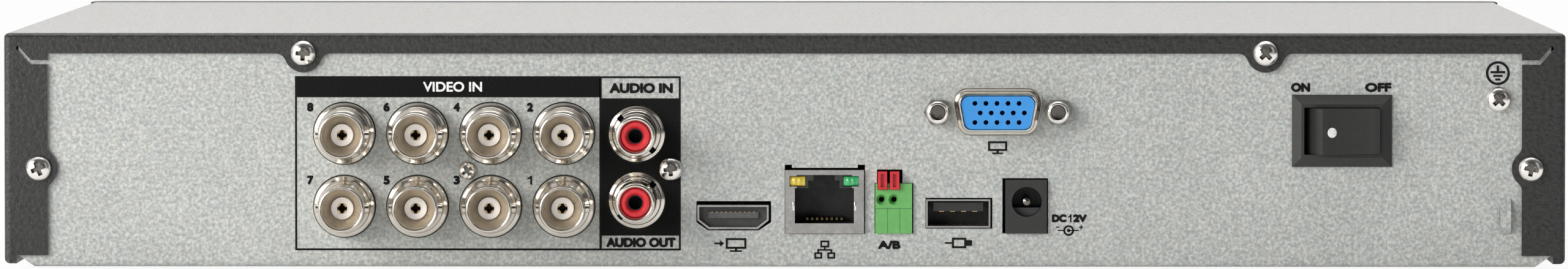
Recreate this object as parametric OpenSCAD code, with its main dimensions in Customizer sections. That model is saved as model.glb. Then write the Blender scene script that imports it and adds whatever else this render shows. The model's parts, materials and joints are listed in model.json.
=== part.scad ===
// Eight-input video recorder in a low steel case, connector panel facing -Y.
// Lengths are in millimetres. The origin is the bottom centre, +Z is up and the bezel is at +Y.

/* [Overall size] */
// Width across the cover
overall_width = 325; // [300:5:400]
// Depth from the video jacks to the bezel
overall_depth = 255; // [250:1:330]
// Height of the case without its feet
body_height = 48.7; // [46:0.1:70]
// Height of the rubber feet
foot_height = 2; // [1.5:0.1:2.4]
// Steel sheet thickness
sheet = 0.9; // [0.7:0.05:1.1]
// Depth of the plastic bezel
bezel_depth = 12.5; // [10:0.5:20]

/* [Cover] */
// Outside radius of the cover bends
bend_radius = 1.2; // [1:0.1:1.6]
// Width of each side flange over the connector panel
side_flange = 9.1; // [8:0.1:10]
// Height of the top flange over the connector panel
top_flange = 4.24; // [3.5:0.01:5]
// Distance of the top screws from the middle
top_screw_x = 100.1; // [90:0.1:104]
// Height of the side screws
side_screw_z = 20.5; // [15:0.1:25]
// Number of cooling slots in each side
slot_count = 12; // [4:1:14]

/* [Video jacks] */
// Distance between neighbouring video jacks
jack_pitch = 15.24; // [14.8:0.01:15.6]
// Outside diameter of a video jack
jack_barrel = 9.6; // [9.4:0.01:9.7]
// How far the video jacks stand out of the panel
jack_reach = 14.5; // [14:0.1:18]

/* [Audio jacks] */
// Outside diameter of an audio jack
audio_barrel = 8.3; // [8:0.01:8.4]
// How far the audio jacks stand out of the panel
audio_reach = 13.5; // [8:0.1:14]

/* [Power switch] */
// Width of the switch frame
switch_width = 20.8; // [20:0.1:22]
// Height of the switch frame
switch_height = 15; // [14.6:0.1:16]
// Angle between off and on
switch_travel = 23.6; // [20:0.1:24]

/* [Hard disk] */
// Length of the disk drive
disk_length = 147; // [146:0.1:148]
// Width of the disk drive
disk_width = 101.6; // [101:0.1:102]
// Height of the disk drive
disk_height = 26.1; // [25:0.1:27]

/* [Hidden] */

$fn = 48;
cut = 1;                 // extra length of a cutting shape
play = 0.05;             // gap between pieces that only sit beside each other
board_thickness = 1.6;

// ---- colours
black_steel = [0.09, 0.09, 0.09];
grey_steel = [0.72, 0.74, 0.73];
nickel = [0.78, 0.75, 0.70];
brass = [0.80, 0.62, 0.30];
black_plastic = [0.06, 0.06, 0.06];
white_plastic = [0.90, 0.90, 0.88];
red_plastic = [0.78, 0.10, 0.12];
green_plastic = [0.32, 0.68, 0.32];
blue_plastic = [0.10, 0.22, 0.62];
yellow_lamp = [0.90, 0.78, 0.15];
green_lamp = [0.20, 0.75, 0.35];
rubber_black = [0.05, 0.05, 0.05];
board_green = [0.05, 0.30, 0.16];
cast_metal = [0.55, 0.56, 0.57];
smoked = [0.12, 0.03, 0.04];

// ---- case, measured from the outer face of the connector panel and the bottom of the case
half_width = overall_width / 2;
body_depth = overall_depth - jack_reach;
rear_y = jack_reach - overall_depth / 2;
cover_depth = body_depth - bezel_depth;
tray_half = half_width - 3;
tray_lip = 12;
corner_in = 3.3;
corner_up = 2.3;
panel_top = body_height - sheet - 0.3;
front_plate_gap = 0.6;
front_plate_y = cover_depth - front_plate_gap - sheet;
front_plate_top = body_height - 8;
front_window_hole = [-140, -60, 12, 32];

// ---- front bezel, its window, lamps, board and hooks
bezel_wall = 2.2;
bezel_corner = 3;
window_box = [-132, -92, 15, 29];
window_flange = [3, 1, 1.2];
window_setback = 0.3;
window_frame = 3;
lamp_x = [-82, -74, -66];
lamp_z = 22;
lamp_hole = 3.2;
lamp_pipe = 3;
lamp_bar = [-85, -63, 20, 24];
lamp_bar_depth = [3.6, 2.25];
front_board_box = [-138, -58, 8, 38];
front_board_gap = 2.6;
front_board_face = front_board_gap + board_thickness;
front_post_x = [-128, -66];
front_post_z = [11, 33];
front_post = 5;
receiver_box = [-122, -106, 18, 26];
receiver_height = 3.8;
lamp_chip = [3, 1.6];
front_plug_box = [-125, -105, 14, 22];
hook_x = 100;
hook_half = 5;
hook_z = [36, 38];
hook_play = 0.2;
hook_reach = 3;
hook_notch = [5.5, 35.5, 39];

// ---- cables, flat strips of one thickness
strip = 1.2;
front_strip = [-122, -108];
front_strip_top = 17.2;
front_strip_drop = 14;
front_strip_low = 5;
front_socket = [-104, -92, 13, 14];
panel_radius = 1.1;

flange_edge = half_width - side_flange;
flange_low = body_height - top_flange;
tab_low = body_height - 5.6;
side_flange_top = body_height - 6.5;
side_flange_low = 2.4;
tab_width = 3.5;
mitre_run = 2.7;
hem_low = 0.7;
hem_width = 2.6;
hem_height = 4;
hem_return = 0.8;
bend_steps = 5;
corner_steps = 8;
ear_radius = 4;
ear_fillet = 2.2;
ear_steps = 6;
top_screw_z = body_height - 4.2;
side_screw_in = 7.2;
slot_size = [3, 22];
slot_pitch = 8;
slot_low = 13;
slot_from_rear = 70;

screw_head = 5.4;
screw_head_height = 1.9;
screw_shank = 3;
screw_hole = 3.2;
screw_length = 6;
cross_width = 0.9;
cross_span = 3;
cross_depth = 1.1;

// ---- feet
foot_diameter = 12;
foot_from_side = 22;
foot_from_rear = 52;
foot_from_front = 30;

// ---- video jacks: four columns, two rows
video_x = [for (column = [0 : 3]) -91.6 + column * jack_pitch];
video_z = [12.6, 27.8];
jack_bore = 8.1;
jack_bore_depth = 6;
jack_base = 12.7;
jack_base_reach = 2.4;
jack_cone_reach = 4.2;
jack_hole = 13.2;
jack_stem = 9;
jack_stem_depth = 9;
lug_width = 2;
lug_span = 11.05;
lug_from_mouth = 5.5;
insulator_diameter = 4.7;
insulator_reach = 10;
video_pin = 1.9;
video_pin_hole = 1.35;
video_pin_hole_depth = 5;
video_block_box = [-99.4, -38.2, 7, 35.6];
video_block_depth = 12;
video_screw_at = [-66, 20.05];
video_screw_head = 3.9;

// ---- audio jacks
audio_x = -30.7;
audio_z = [13.9, 27.7];
audio_turn = [45, -45];
audio_flange = 11.9;
audio_flange_reach = 1.2;
audio_collar = 10;
audio_collar_reach = 3;
audio_bore = 6.1;
audio_hole = 12.2;
audio_stem = 7.5;
audio_stem_depth = 8;
audio_notch = 1.3;
audio_notch_floor = 0.2;
audio_notch_wall = 0.3;
audio_insulator = 6;
audio_contact = 4.2;
audio_contact_bore = 3.2;
audio_contact_setback = 1.5;
audio_contact_depth = 10;
audio_block_box = [-37.2, -20.4, 7, 35.2];
audio_block_depth = 11;
audio_screw_at = [-23.7, 20.36];
audio_screw_head = 5.1;

// ---- circuit board, its top face and the connectors along its rear edge
board_top = 7;
board_box = [-104, 64, 2.4, 106];
post_diameter = 6;
post_spots = [[-98, 45], [-98, 98], [-20, 98], [56, 98], [56, 30], [-14, 30]];
post_hole = 2.5;

// digital video port
digital_cut = [[-18.3, 13.7], [-18.3, 9.3], [-15.9, 7.6], [-5.35, 7.6], [-2.75, 9.3], [-2.75, 13.7]];
digital_out = [[-18.1, 12.9], [-18.1, 9.7], [-15.8, 7.9], [-5.5, 7.9], [-3.25, 9.7], [-3.25, 12.9]];
digital_in = [[-17.7, 12.5], [-17.7, 9.9], [-15.6, 8.3], [-5.7, 8.3], [-3.65, 9.9], [-3.65, 12.5]];
digital_tongue_box = [-15.8, -5.4, 10.1, 11.4];
digital_depth = 11;
sleeve_reach = 0.4;
tongue_setback = 1;
sleeve_foot = [2, 0.4];

// network port
network_cut = [0.1, 16.8, 6.9, 20.65];
network_notch = [1.5, 0.65];
network_box = [0.2, 16.6, 7, 20.2];
network_opening = [2.2, 14.5, 9.1, 16.45];
network_key_wide = [5, 11.5, 16.45, 18];
network_key = [6.1, 10.5, 16.45, 19.2];
network_lamp_left = [1.1, 4.4, 16.8, 18.95];
network_lamp_right = [12.3, 15.5, 16.8, 18.95];
network_depth = 16;
network_reach = 0.9;
network_lamp_depth = 6;
network_contact_front = 3;
network_sheet = 0.3;
network_cavity = 12;
network_pins = 8;
network_pin_pitch = 1.02;
network_pin = 0.45;

// terminal block
terminal_cut_low = [18.8, 26.85, 7, 17.5];
terminal_cut_high = [19.3, 24.6, 17.4, 20.3];
terminal_box = [18.95, 26.6, 7, 17.4];
terminal_reach = 0.7;
terminal_depth = 12;
terminal_wall_top = 15.9;
terminal_wire_x = [20.26, 22.82];
terminal_wire_z = 14.06;
terminal_wire_hole = [2.3, 1.15];
terminal_funnel = 1.2;
terminal_wire_depth = 9;
button_x = [[19.5, 21.4], [22, 23.95]];
button_z = [16.2, 19.9];
button_reach = 1.6;
button_depth = 6;
button_slot = [0.77, 2.8, 0.8];
button_travel = 1.2;

// data port
data_cut = [29.4, 43.3, 8, 14.4];
data_box = [29.5, 42.9, 8.2, 14.1];
data_sheet = 0.35;
data_depth = 14;
data_tongue = [31, 41.4, 11.6, 13.4];
data_contacts = 4;
data_contact_pitch = 2.3;
data_contact = [1, 0.2, 8];

// monitor port
monitor_at = [44.4, 32.3];
monitor_outer = [18.2, 9.6, 2.8];
monitor_rim = [16.4, 8, 2.2];
monitor_core = [15.2, 6.8, 1.6];
monitor_slope = 10;
monitor_reach = 6;
monitor_mouth = monitor_rim - [0.8, 0.8, 0.4];
monitor_plug = [6, 3, 5];
monitor_plug_socket = [7, 27, 31, 15];
monitor_plate = [31, 12.5];
monitor_screw_pitch = 24.99;
monitor_hex = 5;
monitor_thread = 2.84;
monitor_hex_reach = 4.5;
monitor_hole = 1;
monitor_hole_pitch = 2.29;
monitor_row_pitch = 1.98;
monitor_row_shift = 0.9;
monitor_outer_row_shift = -0.2;
monitor_core_depth = 9;

// power jack
power_cut = [45.4, 54.9, 7, 18.5];
power_box = [46, 54.65, 7, 18.2];
power_at = [50.47, 13.6];
power_hole = 6.25;
power_hole_depth = 9.5;
power_pin = 2;
power_pin_stem = 1.5;
power_pin_setback = 1.2;
power_depth = 13;
power_reach = 0.8;

// power switch
switch_at = [116, 28.4];
switch_opening = [15.8, 9.8];
switch_body = [19.2, 13.2];
switch_cavity = [17, 9.8];
switch_frame_reach = 2;
switch_bevel = 1.9;
switch_depth = 14;
pivot_depth = 3;
rocker_height = 9.5;
rocker_top = 8.42;
rocker_half = 7.75;
rocker_shoulder = 1;
rocker_floor = -2.5;
rocker_floor_half = 3;
rocker_dot = 2.1;
pivot_diameter = 2.4;
pivot_length = 0.8;
pivot_play = 0.08;
wire = 2.2;
wire_height = 10;
wire_end = 60;

// ground screw and cable bridge
ground_at = [148.6, 34.9];
bridge_box = [148.9, 151.1, 6.8, 14.4];
bridge_rise = 2.2;
bridge_steps = 6;

// hard disk, lying across the tray behind the bezel
disk_x = -10;
disk_y = 115;
disk_z = 2.9;
disk_floor = 8;
disk_lid_thickness = 1.2;
platter_centre = [96, 50.8];
platter_diameter = 95;
platter_thickness = 1.3;
platter_gap = 4;
platter_play = 0.8;
hub_diameter = 28;
hub_play = 0.06;
spindle = 12;
arm_pivot = [43, 68];
arm_pivot_diameter = 8;
arm_hub = 15;
arm_length = 50;
arm_park = -73.5;
disk_screw_from_end = [41.28, 85.73];
disk_screw_from_side = 3.18;
disk_boss = 12;
disk_boss_dish = 7.4;
disk_screw_head = 6;

// ---- helpers. 2-D shapes are drawn as seen from the rear: across, then up.
module rear() { translate([0, rear_y, foot_height]) children(); }

module slab(y0, y1) {
  translate([0, y1, 0]) rotate([90, 0, 0]) linear_extrude(height = y1 - y0) children();
}

module along_x(x0, x1) {
  translate([x0, 0, 0]) rotate([90, 0, 90]) linear_extrude(height = x1 - x0) children();
}

module area(box) { translate([box[0], box[2]]) square([box[1] - box[0], box[3] - box[2]]); }

module brick(box, y0, y1) { slab(y0, y1) area(box); }

module rod(at, y0, y1, d, d_end) {
  translate([at[0], y0, at[1]]) rotate([-90, 0, 0])
    cylinder(h = y1 - y0, d1 = d, d2 = is_undef(d_end) ? d : d_end);
}

module post(x, y, z0, z1, d) { translate([x, y, z0]) cylinder(h = z1 - z0, d = d); }

function grow(box, by) = [box[0] - by, box[1] + by, box[2] - by, box[3] + by];

function normal(a, b) = [b[1] - a[1], a[0] - b[0]] / norm(b - a);

// Convex outline with round corners, from the corner centres in counter-clockwise order.
// Each corner is a chain of short straight steps.
module rounded(centres, r) {
  n = len(centres);
  polygon([for (i = [0 : n - 1])
    let (c = centres[i], into = normal(centres[(i + n - 1) % n], c), away = normal(c, centres[(i + 1) % n]),
      start = atan2(into[1], into[0]), turn = (atan2(away[1], away[0]) - start + 360) % 360)
    for (k = [0 : corner_steps]) let (a = start + turn * k / corner_steps) c + r * [cos(a), sin(a)]]);
}

// D-shaped outline, wider at the top
module dee(size) {
  w = size[0] / 2 - size[2];
  h = size[1] / 2 - size[2];
  lean = 2 * h * tan(monitor_slope);
  rounded([[-w + lean, -h], [w - lean, -h], [w, h], [-w, h]], size[2]);
}

// Round ear of a flange whose edge lies `edge` below the screw centre, ear pointing down.
// The hollow corner beside the ear is a chain of short straight steps.
module ear(edge) {
  reach = sqrt(pow(ear_radius + ear_fillet, 2) - pow(ear_fillet + edge, 2));
  swing = atan2(reach, ear_fillet + edge);
  curve = [for (i = [0 : ear_steps]) let (a = swing * i / ear_steps)
    [reach - ear_fillet * sin(a), -edge - ear_fillet * (1 - cos(a))]];
  circle(r = ear_radius);
  for (side = [-1, 1]) polygon([for (p = concat([[reach, -edge + cut]], curve, [[0, 0], [0, -edge + cut]]))
    [side * p[0], p[1]]]);
}

// Pan-head screw seated on the plane y = 0 with its head outside
module pan_screw(at, head, length) {
  difference() {
    union() {
      rod(at, -screw_head_height / 2, 0, head);
      rod(at, -screw_head_height, -screw_head_height / 2, head * 0.62, head);
      rod(at, 0, length, screw_shank - 0.1);
    }
    for (turn = [0, 90]) translate([at[0], 0, at[1]]) rotate([0, turn, 0])
      translate([-cross_span / 2, -screw_head_height - cut, -cross_width / 2])
        cube([cross_span, cross_depth + cut, cross_width]);
  }
}

// ---- case
module tray_outline(inset, top) {
  x = tray_half - inset;
  polygon([[-x, top], [-x, corner_up + inset / 2], [-x + corner_in - inset / 2, inset],
    [x - corner_in + inset / 2, inset], [x, corner_up + inset / 2], [x, top]]);
}

module panel_holes() {
  for (x = video_x, z = video_z) translate([x, z]) circle(d = jack_hole);
  for (z = audio_z) translate([audio_x, z]) circle(d = audio_hole);
  for (at = [video_screw_at, audio_screw_at, ground_at]) translate(at) circle(d = screw_hole);
  for (side = [-1, 1]) {
    translate([side * top_screw_x, top_screw_z]) circle(d = screw_hole);
    translate([side * (half_width - side_screw_in), side_screw_z]) circle(d = screw_hole);
    translate([monitor_at[0] + side * monitor_screw_pitch / 2, monitor_at[1]])
      circle(d = screw_hole);
  }
  polygon(digital_cut);
  area(network_cut);
  area([network_cut[0], network_cut[0] + network_notch[0], network_cut[3] - play,
    network_cut[3] + network_notch[1]]);
  area([network_cut[1] - network_notch[0], network_cut[1], network_cut[3] - play,
    network_cut[3] + network_notch[1]]);
  area(terminal_cut_low);
  area(terminal_cut_high);
  area(data_cut);
  translate(monitor_at) dee(monitor_outer + [0.3, 0.3, 0]);
  area(power_cut);
  translate(switch_at) square(switch_body + [0.1, 0.1], center = true);
  area(bridge_box);
}

// Strip of the panel pushed outward to hold a cable tie, bent as a chain of short flats
module cable_bridge() {
  half = (bridge_box[3] - bridge_box[2]) / 2;
  outer = (half * half + bridge_rise * bridge_rise) / (2 * bridge_rise);
  swing = asin(half / outer);
  function arch(r) = [for (i = [-bridge_steps : bridge_steps]) let (a = swing * i / bridge_steps)
    [outer - bridge_rise - r * cos(a), r * sin(a)]];
  inside = arch(outer - sheet);
  foot = (outer - sheet) * sin(swing);
  along_x(bridge_box[0], bridge_box[1]) translate([0, bridge_box[2] + half])
    polygon(concat(arch(outer), [[sheet, half], [sheet, foot]],
      [for (i = [len(inside) - 1 : -1 : 0]) inside[i]], [[sheet, -foot], [sheet, -half]]));
}

module disk_screw_spots() {
  for (end = disk_screw_from_end, side = [disk_screw_from_side, disk_width - disk_screw_from_side])
    translate([disk_x + end, disk_y + side, 0]) children();
}

module chassis_base() color(grey_steel) rear() {
  difference() {
    intersection() {
      union() {
        slab(0, front_plate_y + sheet) difference() {
          tray_outline(0, tray_lip);
          tray_outline(sheet, tray_lip + cut);
        }
        slab(0, sheet) difference() {
          tray_outline(0, panel_top);
          panel_holes();
        }
        slab(front_plate_y, front_plate_y + sheet) difference() {
          tray_outline(0, front_plate_top);
          area(front_window_hole);
          for (side = [-1, 1]) area(grow(hook(side, hook_z[1]), hook_play));
        }
      }
      along_x(-tray_half, tray_half) {
        translate([panel_radius, 0]) square([body_depth, body_height]);
        translate([0, panel_radius]) square([body_depth, body_height]);
        translate([panel_radius, panel_radius]) circle(r = panel_radius);
      }
    }
    disk_screw_spots() translate([0, 0, -cut]) cylinder(h = sheet + 2 * cut, d = disk_boss_dish);
  }
  cable_bridge();
  disk_screw_spots() difference() {
    cylinder(h = disk_z, d = disk_boss);
    translate([0, 0, -cut]) cylinder(h = disk_z - sheet + cut, d = disk_boss_dish);
    cylinder(h = disk_z + cut, d = screw_hole + 0.4);
    translate([0, 0, -cut]) cylinder(h = cut, d = disk_boss + cut);
  }
  for (spot = post_spots) difference() {
    post(spot[0], spot[1], sheet - play, board_top - board_thickness, post_diameter);
    post(spot[0], spot[1], sheet + cut, board_top, post_hole);
  }
}

// One bend of the cover, as a chain of short flats
function bend(x, y, start) = [for (i = [0 : bend_steps]) let (a = start + 90 * i / bend_steps)
  [x + bend_radius * cos(a), y + bend_radius * sin(a)]];

module cover_outside() {
  x = half_width - bend_radius;
  y = bend_radius - sheet;
  low = hem_low + bend_radius;
  high = body_height - bend_radius;
  intersection() {
    slab(-sheet, cover_depth)
      polygon(concat(bend(x, low, -90), bend(x, high, 0), bend(-x, high, 90), bend(-x, low, 180)));
    along_x(-half_width, half_width) polygon(concat([[cover_depth, 0], [cover_depth, body_height]],
      bend(y, high, 90), [[-sheet, 0]]));
    linear_extrude(height = body_height) polygon(concat(
      [[half_width, cover_depth], [-half_width, cover_depth]], bend(-x, y, 180), bend(x, y, 270)));
  }
}

module flange_opening() {
  x = flange_edge;
  difference() {
    union() {
      area([-x, x, -cut, tab_low]);
      area([-x + play, x - play, tab_low - play, flange_low]);
      area([-half_width + hem_width, half_width - hem_width, -cut, side_flange_low]);
      for (side = [-1, 1]) polygon([[side * (x - cut), side_flange_top],
        [side * (x + tab_width + 0.3), side_flange_top],
        [side * (x + tab_width + mitre_run + 0.5), side_flange_top + mitre_run + 0.6],
        [side * (x + tab_width + mitre_run), tab_low + mitre_run + 0.3],
        [side * (x + tab_width), tab_low], [side * (x - cut), tab_low]]);
    }
    for (side = [-1, 1]) {
      translate([side * top_screw_x, top_screw_z]) ear(top_screw_z - flange_low);
      translate([side * (half_width - side_screw_in), side_screw_z]) rotate(-side * 90)
        ear(side_flange - side_screw_in);
    }
  }
}

module top_cover() color(black_steel) rear() {
  inner = half_width - sheet;
  lip = half_width - hem_width;
  difference() {
    cover_outside();
    slab(0, cover_depth + cut) {
      area([-inner, inner, hem_low + sheet, body_height - sheet]);
      area([-lip, lip, -cut, hem_low + sheet + cut]);
    }
    slab(-sheet - cut, cut) {
      flange_opening();
      for (side = [-1, 1]) {
        translate([side * top_screw_x, top_screw_z]) circle(d = screw_hole);
        translate([side * (half_width - side_screw_in), side_screw_z]) circle(d = screw_hole);
      }
    }
    for (i = [0 : slot_count - 1])
      translate([-half_width - cut, slot_from_rear + i * slot_pitch, slot_low])
        cube([overall_width + 2 * cut, slot_size[0], slot_size[1]]);
  }
  for (x = [-lip - hem_return, lip])
    brick([x, x + hem_return, hem_low + sheet - play, hem_low + hem_height], 1, cover_depth);
}

module front_bezel() color(black_plastic) rear() {
  round_x = half_width - bezel_corner;
  round_y = body_depth - bezel_corner;
  difference() {
    intersection() {
      brick([-half_width, half_width, 0, body_height], cover_depth, body_depth);
      linear_extrude(height = body_height) {
        area([-half_width, half_width, cover_depth, round_y]);
        area([-round_x, round_x, cover_depth, body_depth]);
        for (side = [-1, 1]) translate([side * round_x, round_y]) circle(r = bezel_corner);
      }
    }
    brick(grow([-half_width, half_width, 0, body_height], -bezel_wall),
      cover_depth - cut, body_depth - bezel_wall);
    brick(window_box, body_depth - bezel_wall - cut, body_depth + cut);
    for (x = lamp_x) rod([x, lamp_z], body_depth - bezel_wall - cut, body_depth + cut, lamp_hole);
  }
  for (x = front_post_x, z = front_post_z)
    rod([x, z], cover_depth + front_board_face, body_depth - bezel_wall, front_post);
  for (side = [-1, 1]) {
    brick(hook(side, hook_z[1]), front_plate_y - hook_reach / 2, cover_depth + hook_reach);
    brick(hook(side, body_height - bezel_wall), cover_depth + hook_reach, body_depth - bezel_wall);
  }
}

// Cross-section of a hook of the bezel, up to a given height
function hook(side, top) = [side * hook_x - hook_half, side * hook_x + hook_half, hook_z[0], top];

module front_window() color(smoked) rear() {
  brick(grow(window_box, -2 * play), body_depth - bezel_wall, body_depth - window_setback);
  slab(body_depth - bezel_wall - window_flange[2], body_depth - bezel_wall) difference() {
    area(window_box + [-window_flange[0], window_flange[0], -window_flange[1], window_flange[1]]);
    area(window_box + [window_frame, -window_frame, window_frame - 1, 1 - window_frame]);
  }
}

module light_pipes() color(white_plastic) rear() {
  for (x = lamp_x)
    rod([x, lamp_z], cover_depth + front_board_face + receiver_height - lamp_chip[1],
      body_depth - 2 * play, lamp_pipe);
  difference() {
    brick(lamp_bar, body_depth - lamp_bar_depth[0], body_depth - lamp_bar_depth[1]);
    for (x = lamp_x) rod([x, lamp_z], body_depth - lamp_bar_depth[0] - cut, body_depth, lamp_pipe - play);
  }
}

module front_board() color(board_green) rear() {
  difference() {
    brick(front_board_box, cover_depth + front_board_gap, cover_depth + front_board_face);
    for (side = [-1, 1])
      brick([side * hook_x - hook_notch[0], side * hook_x + hook_notch[0], hook_notch[1], hook_notch[2]],
        cover_depth, cover_depth + front_board_face + cut);
  }
  translate([0, cover_depth + front_board_face, 0]) {
    brick(receiver_box, 0, receiver_height);
    for (x = lamp_x) brick(grow([x, x, lamp_z, lamp_z], lamp_chip[0] / 2), 0, lamp_chip[1]);
  }
  brick(front_plug_box, cover_depth - 1, cover_depth + front_board_gap);
}

module front_cable() color(white_plastic) rear() {
  drop_y = front_plate_y - front_strip_drop;
  rise_y = board_box[3] + 8;
  back_y = board_box[3] - 8;
  brick(concat(front_strip, [front_strip_top - strip, front_strip_top]), drop_y, cover_depth - 1);
  brick(concat(front_strip, [front_strip_low, front_strip_top]), drop_y - strip, drop_y);
  brick(concat(front_strip, [front_strip_low - strip, front_strip_low]), rise_y, drop_y);
  brick(concat(front_strip, [front_strip_low, front_socket[3]]), rise_y, rise_y + strip);
  brick([front_strip[0], front_socket[1], front_socket[3], front_socket[3] + strip], back_y, rise_y + strip);
  brick(front_socket, back_y, board_box[3] - 4);
}

module foot_pads() color(rubber_black) translate([0, rear_y, 0]) {
  for (side = [-1, 1], y = [foot_from_rear, body_depth - foot_from_front])
    post(side * (half_width - foot_from_side), y, 0, foot_height, foot_diameter);
}

// ---- screws
module cover_screws() color(nickel) rear() translate([0, -sheet, 0]) {
  for (side = [-1, 1]) {
    pan_screw([side * top_screw_x, top_screw_z], screw_head, screw_length);
    pan_screw([side * (half_width - side_screw_in), side_screw_z], screw_head, screw_length);
  }
}

module ground_screw() color(nickel) rear() pan_screw(ground_at, screw_head, screw_length);

module video_block_screw() color(nickel) rear() pan_screw(video_screw_at, video_screw_head, screw_length);

module audio_block_screw() color(nickel) rear() pan_screw(audio_screw_at, audio_screw_head, screw_length);

// ---- video jacks
module each_video() { for (x = video_x, z = video_z) translate([x, 0, z]) children(); }

module video_block() color(black_plastic) rear() difference() {
  brick(video_block_box, sheet, sheet + video_block_depth);
  each_video() {
    rod([0, 0], 0, jack_stem_depth + sheet + play, jack_stem + play);
    rod([0, 0], 0, video_block_depth + cut + sheet, insulator_diameter - 1);
  }
  rod(video_screw_at, 0, screw_length + 1, screw_shank);
}

module video_jacks() color(nickel) rear() each_video() difference() {
  union() {
    rod([0, 0], sheet, sheet + jack_stem_depth, jack_stem);
    rod([0, 0], -jack_base_reach, sheet, jack_base);
    rod([0, 0], -jack_cone_reach, -jack_base_reach, jack_barrel, jack_base - 0.8);
    rod([0, 0], -jack_reach, -jack_cone_reach, jack_barrel);
    intersection() {
      rod([0, 0], -jack_reach + lug_from_mouth - lug_width / 2,
        -jack_reach + lug_from_mouth + lug_width / 2, lug_span);
      brick([-lug_span, lug_span, -lug_width / 2, lug_width / 2], -jack_reach, 0);
    }
  }
  rod([0, 0], -jack_reach - cut, -jack_reach + jack_bore_depth, jack_bore);
  rod([0, 0], -jack_reach, jack_stem_depth + sheet + cut, insulator_diameter + play);
}

module video_insulators() color(white_plastic) rear() each_video() difference() {
  rod([0, 0], -insulator_reach, jack_stem_depth + sheet, insulator_diameter);
  rod([0, 0], -insulator_reach - cut, jack_stem_depth + sheet + cut, video_pin + play);
}

module video_contacts() color(brass) rear() each_video() {
  difference() {
    rod([0, 0], -insulator_reach, video_block_depth + sheet + 1, video_pin);
    rod([0, 0], -insulator_reach - cut, -insulator_reach + video_pin_hole_depth, video_pin_hole);
    brick([-0.15, 0.15, -video_pin, video_pin], -insulator_reach - cut, -insulator_reach + 3);
  }
}

// ---- audio jacks
module audio_block() color(black_plastic) rear() difference() {
  brick(audio_block_box, sheet, sheet + audio_block_depth);
  for (z = audio_z) rod([audio_x, z], 0, audio_stem_depth + sheet + play, audio_stem + play);
  rod(audio_screw_at, 0, screw_length + 1, screw_shank);
}

module audio_jacks() color(nickel) rear() for (i = [0, 1]) translate([audio_x, 0, audio_z[i]])
  difference() {
    union() {
      rod([0, 0], sheet, sheet + audio_stem_depth, audio_stem);
      rod([0, 0], -audio_flange_reach, sheet, audio_flange);
      rod([0, 0], -audio_collar_reach, -audio_flange_reach, audio_collar);
      rod([0, 0], -audio_reach + 0.6, -audio_collar_reach, audio_barrel);
      rod([0, 0], -audio_reach, -audio_reach + 0.6, audio_barrel - 1, audio_barrel);
    }
    rod([0, 0], -audio_reach - cut, sheet + audio_stem_depth + cut, audio_bore);
    rotate([0, audio_turn[i], 0]) slab(-audio_collar_reach - cut, -audio_flange_reach - audio_notch_floor)
      difference() {
        area([-audio_flange, audio_flange, -audio_notch / 2, audio_notch / 2]);
        circle(d = audio_barrel + audio_notch_wall);
      }
  }

module audio_insulators() color(red_plastic) rear() for (z = audio_z) difference() {
  rod([audio_x, z], -audio_reach + 0.5, sheet + audio_stem_depth, audio_insulator);
  rod([audio_x, z], -audio_reach - cut, -audio_reach + 7, audio_contact_bore);
  rod([audio_x, z], -audio_reach + audio_contact_setback, sheet + audio_stem_depth + cut,
    audio_contact + play);
}

module audio_contacts() color(brass) rear() for (z = audio_z) difference() {
  rod([audio_x, z], -audio_reach + audio_contact_setback + play, sheet + audio_stem_depth, audio_contact);
  rod([audio_x, z], -audio_reach, -audio_reach + audio_contact_setback + play + audio_contact_depth,
    audio_contact_bore);
}

// ---- ports along the board's rear edge
module digital_video_sleeve() color(nickel) rear() {
  slab(-sleeve_reach, digital_depth) difference() {
    polygon(digital_out);
    polygon(digital_in);
  }
  for (x = [digital_out[2][0], digital_out[3][0] - sleeve_foot[0]])
    brick([x, x + sleeve_foot[0], board_top, digital_out[2][1]], board_box[2] + 1, digital_depth);
}

module digital_video_tongue() color(black_plastic) rear() {
  brick(digital_tongue_box, tongue_setback, digital_depth);
  slab(digital_depth - 2, digital_depth) difference() {
    polygon(digital_in);
    area(digital_tongue_box);
  }
}

module network_shield() color(nickel) rear() {
  inside = grow(network_box, -network_sheet);
  difference() {
    brick(network_box, -network_reach, network_depth);
    brick(inside, -network_reach + network_sheet, network_depth + cut);
    slab(-network_reach - cut, 0) {
      area(network_opening);
      area([network_opening[0] + 0.4, network_opening[1] - 0.4, network_opening[3] - play,
        network_key[3]]);
      area(network_lamp_left);
      area(network_lamp_right);
    }
  }
}

module network_insert() color(black_plastic) rear() {
  inside = grow(network_box, -network_sheet - play);
  difference() {
    brick(inside, -network_reach + network_sheet + play, network_depth - 0.5);
    slab(-network_reach, network_cavity) {
      area(network_opening);
      area(network_key_wide + [0, 0, -play, 0]);
      area(network_key + [0, 0, -play, 0]);
    }
    brick(grow(network_lamp_left, play), -network_reach, network_lamp_depth + play);
    brick(grow(network_lamp_right, play), -network_reach, network_lamp_depth + play);
    for (i = [0 : network_pins - 1])
      brick(network_pin_box(i) + [-play, play, -play, 0], network_cavity - play, network_depth);
  }
}

function network_pin_box(i) = let (x = (network_opening[0] + network_opening[1]) / 2
  + (i - (network_pins - 1) / 2) * network_pin_pitch)
  [x - network_pin / 2, x + network_pin / 2, network_opening[2] + 0.5, network_opening[2] + 1];

module network_contacts() color(brass) rear() for (i = [0 : network_pins - 1])
  brick(network_pin_box(i), network_contact_front, network_depth - 0.5);

module network_lamp_yellow() color(yellow_lamp) rear() brick(network_lamp_left, -network_reach,
  network_lamp_depth);

module network_lamp_green() color(green_lamp) rear() brick(network_lamp_right, -network_reach,
  network_lamp_depth);

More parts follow.
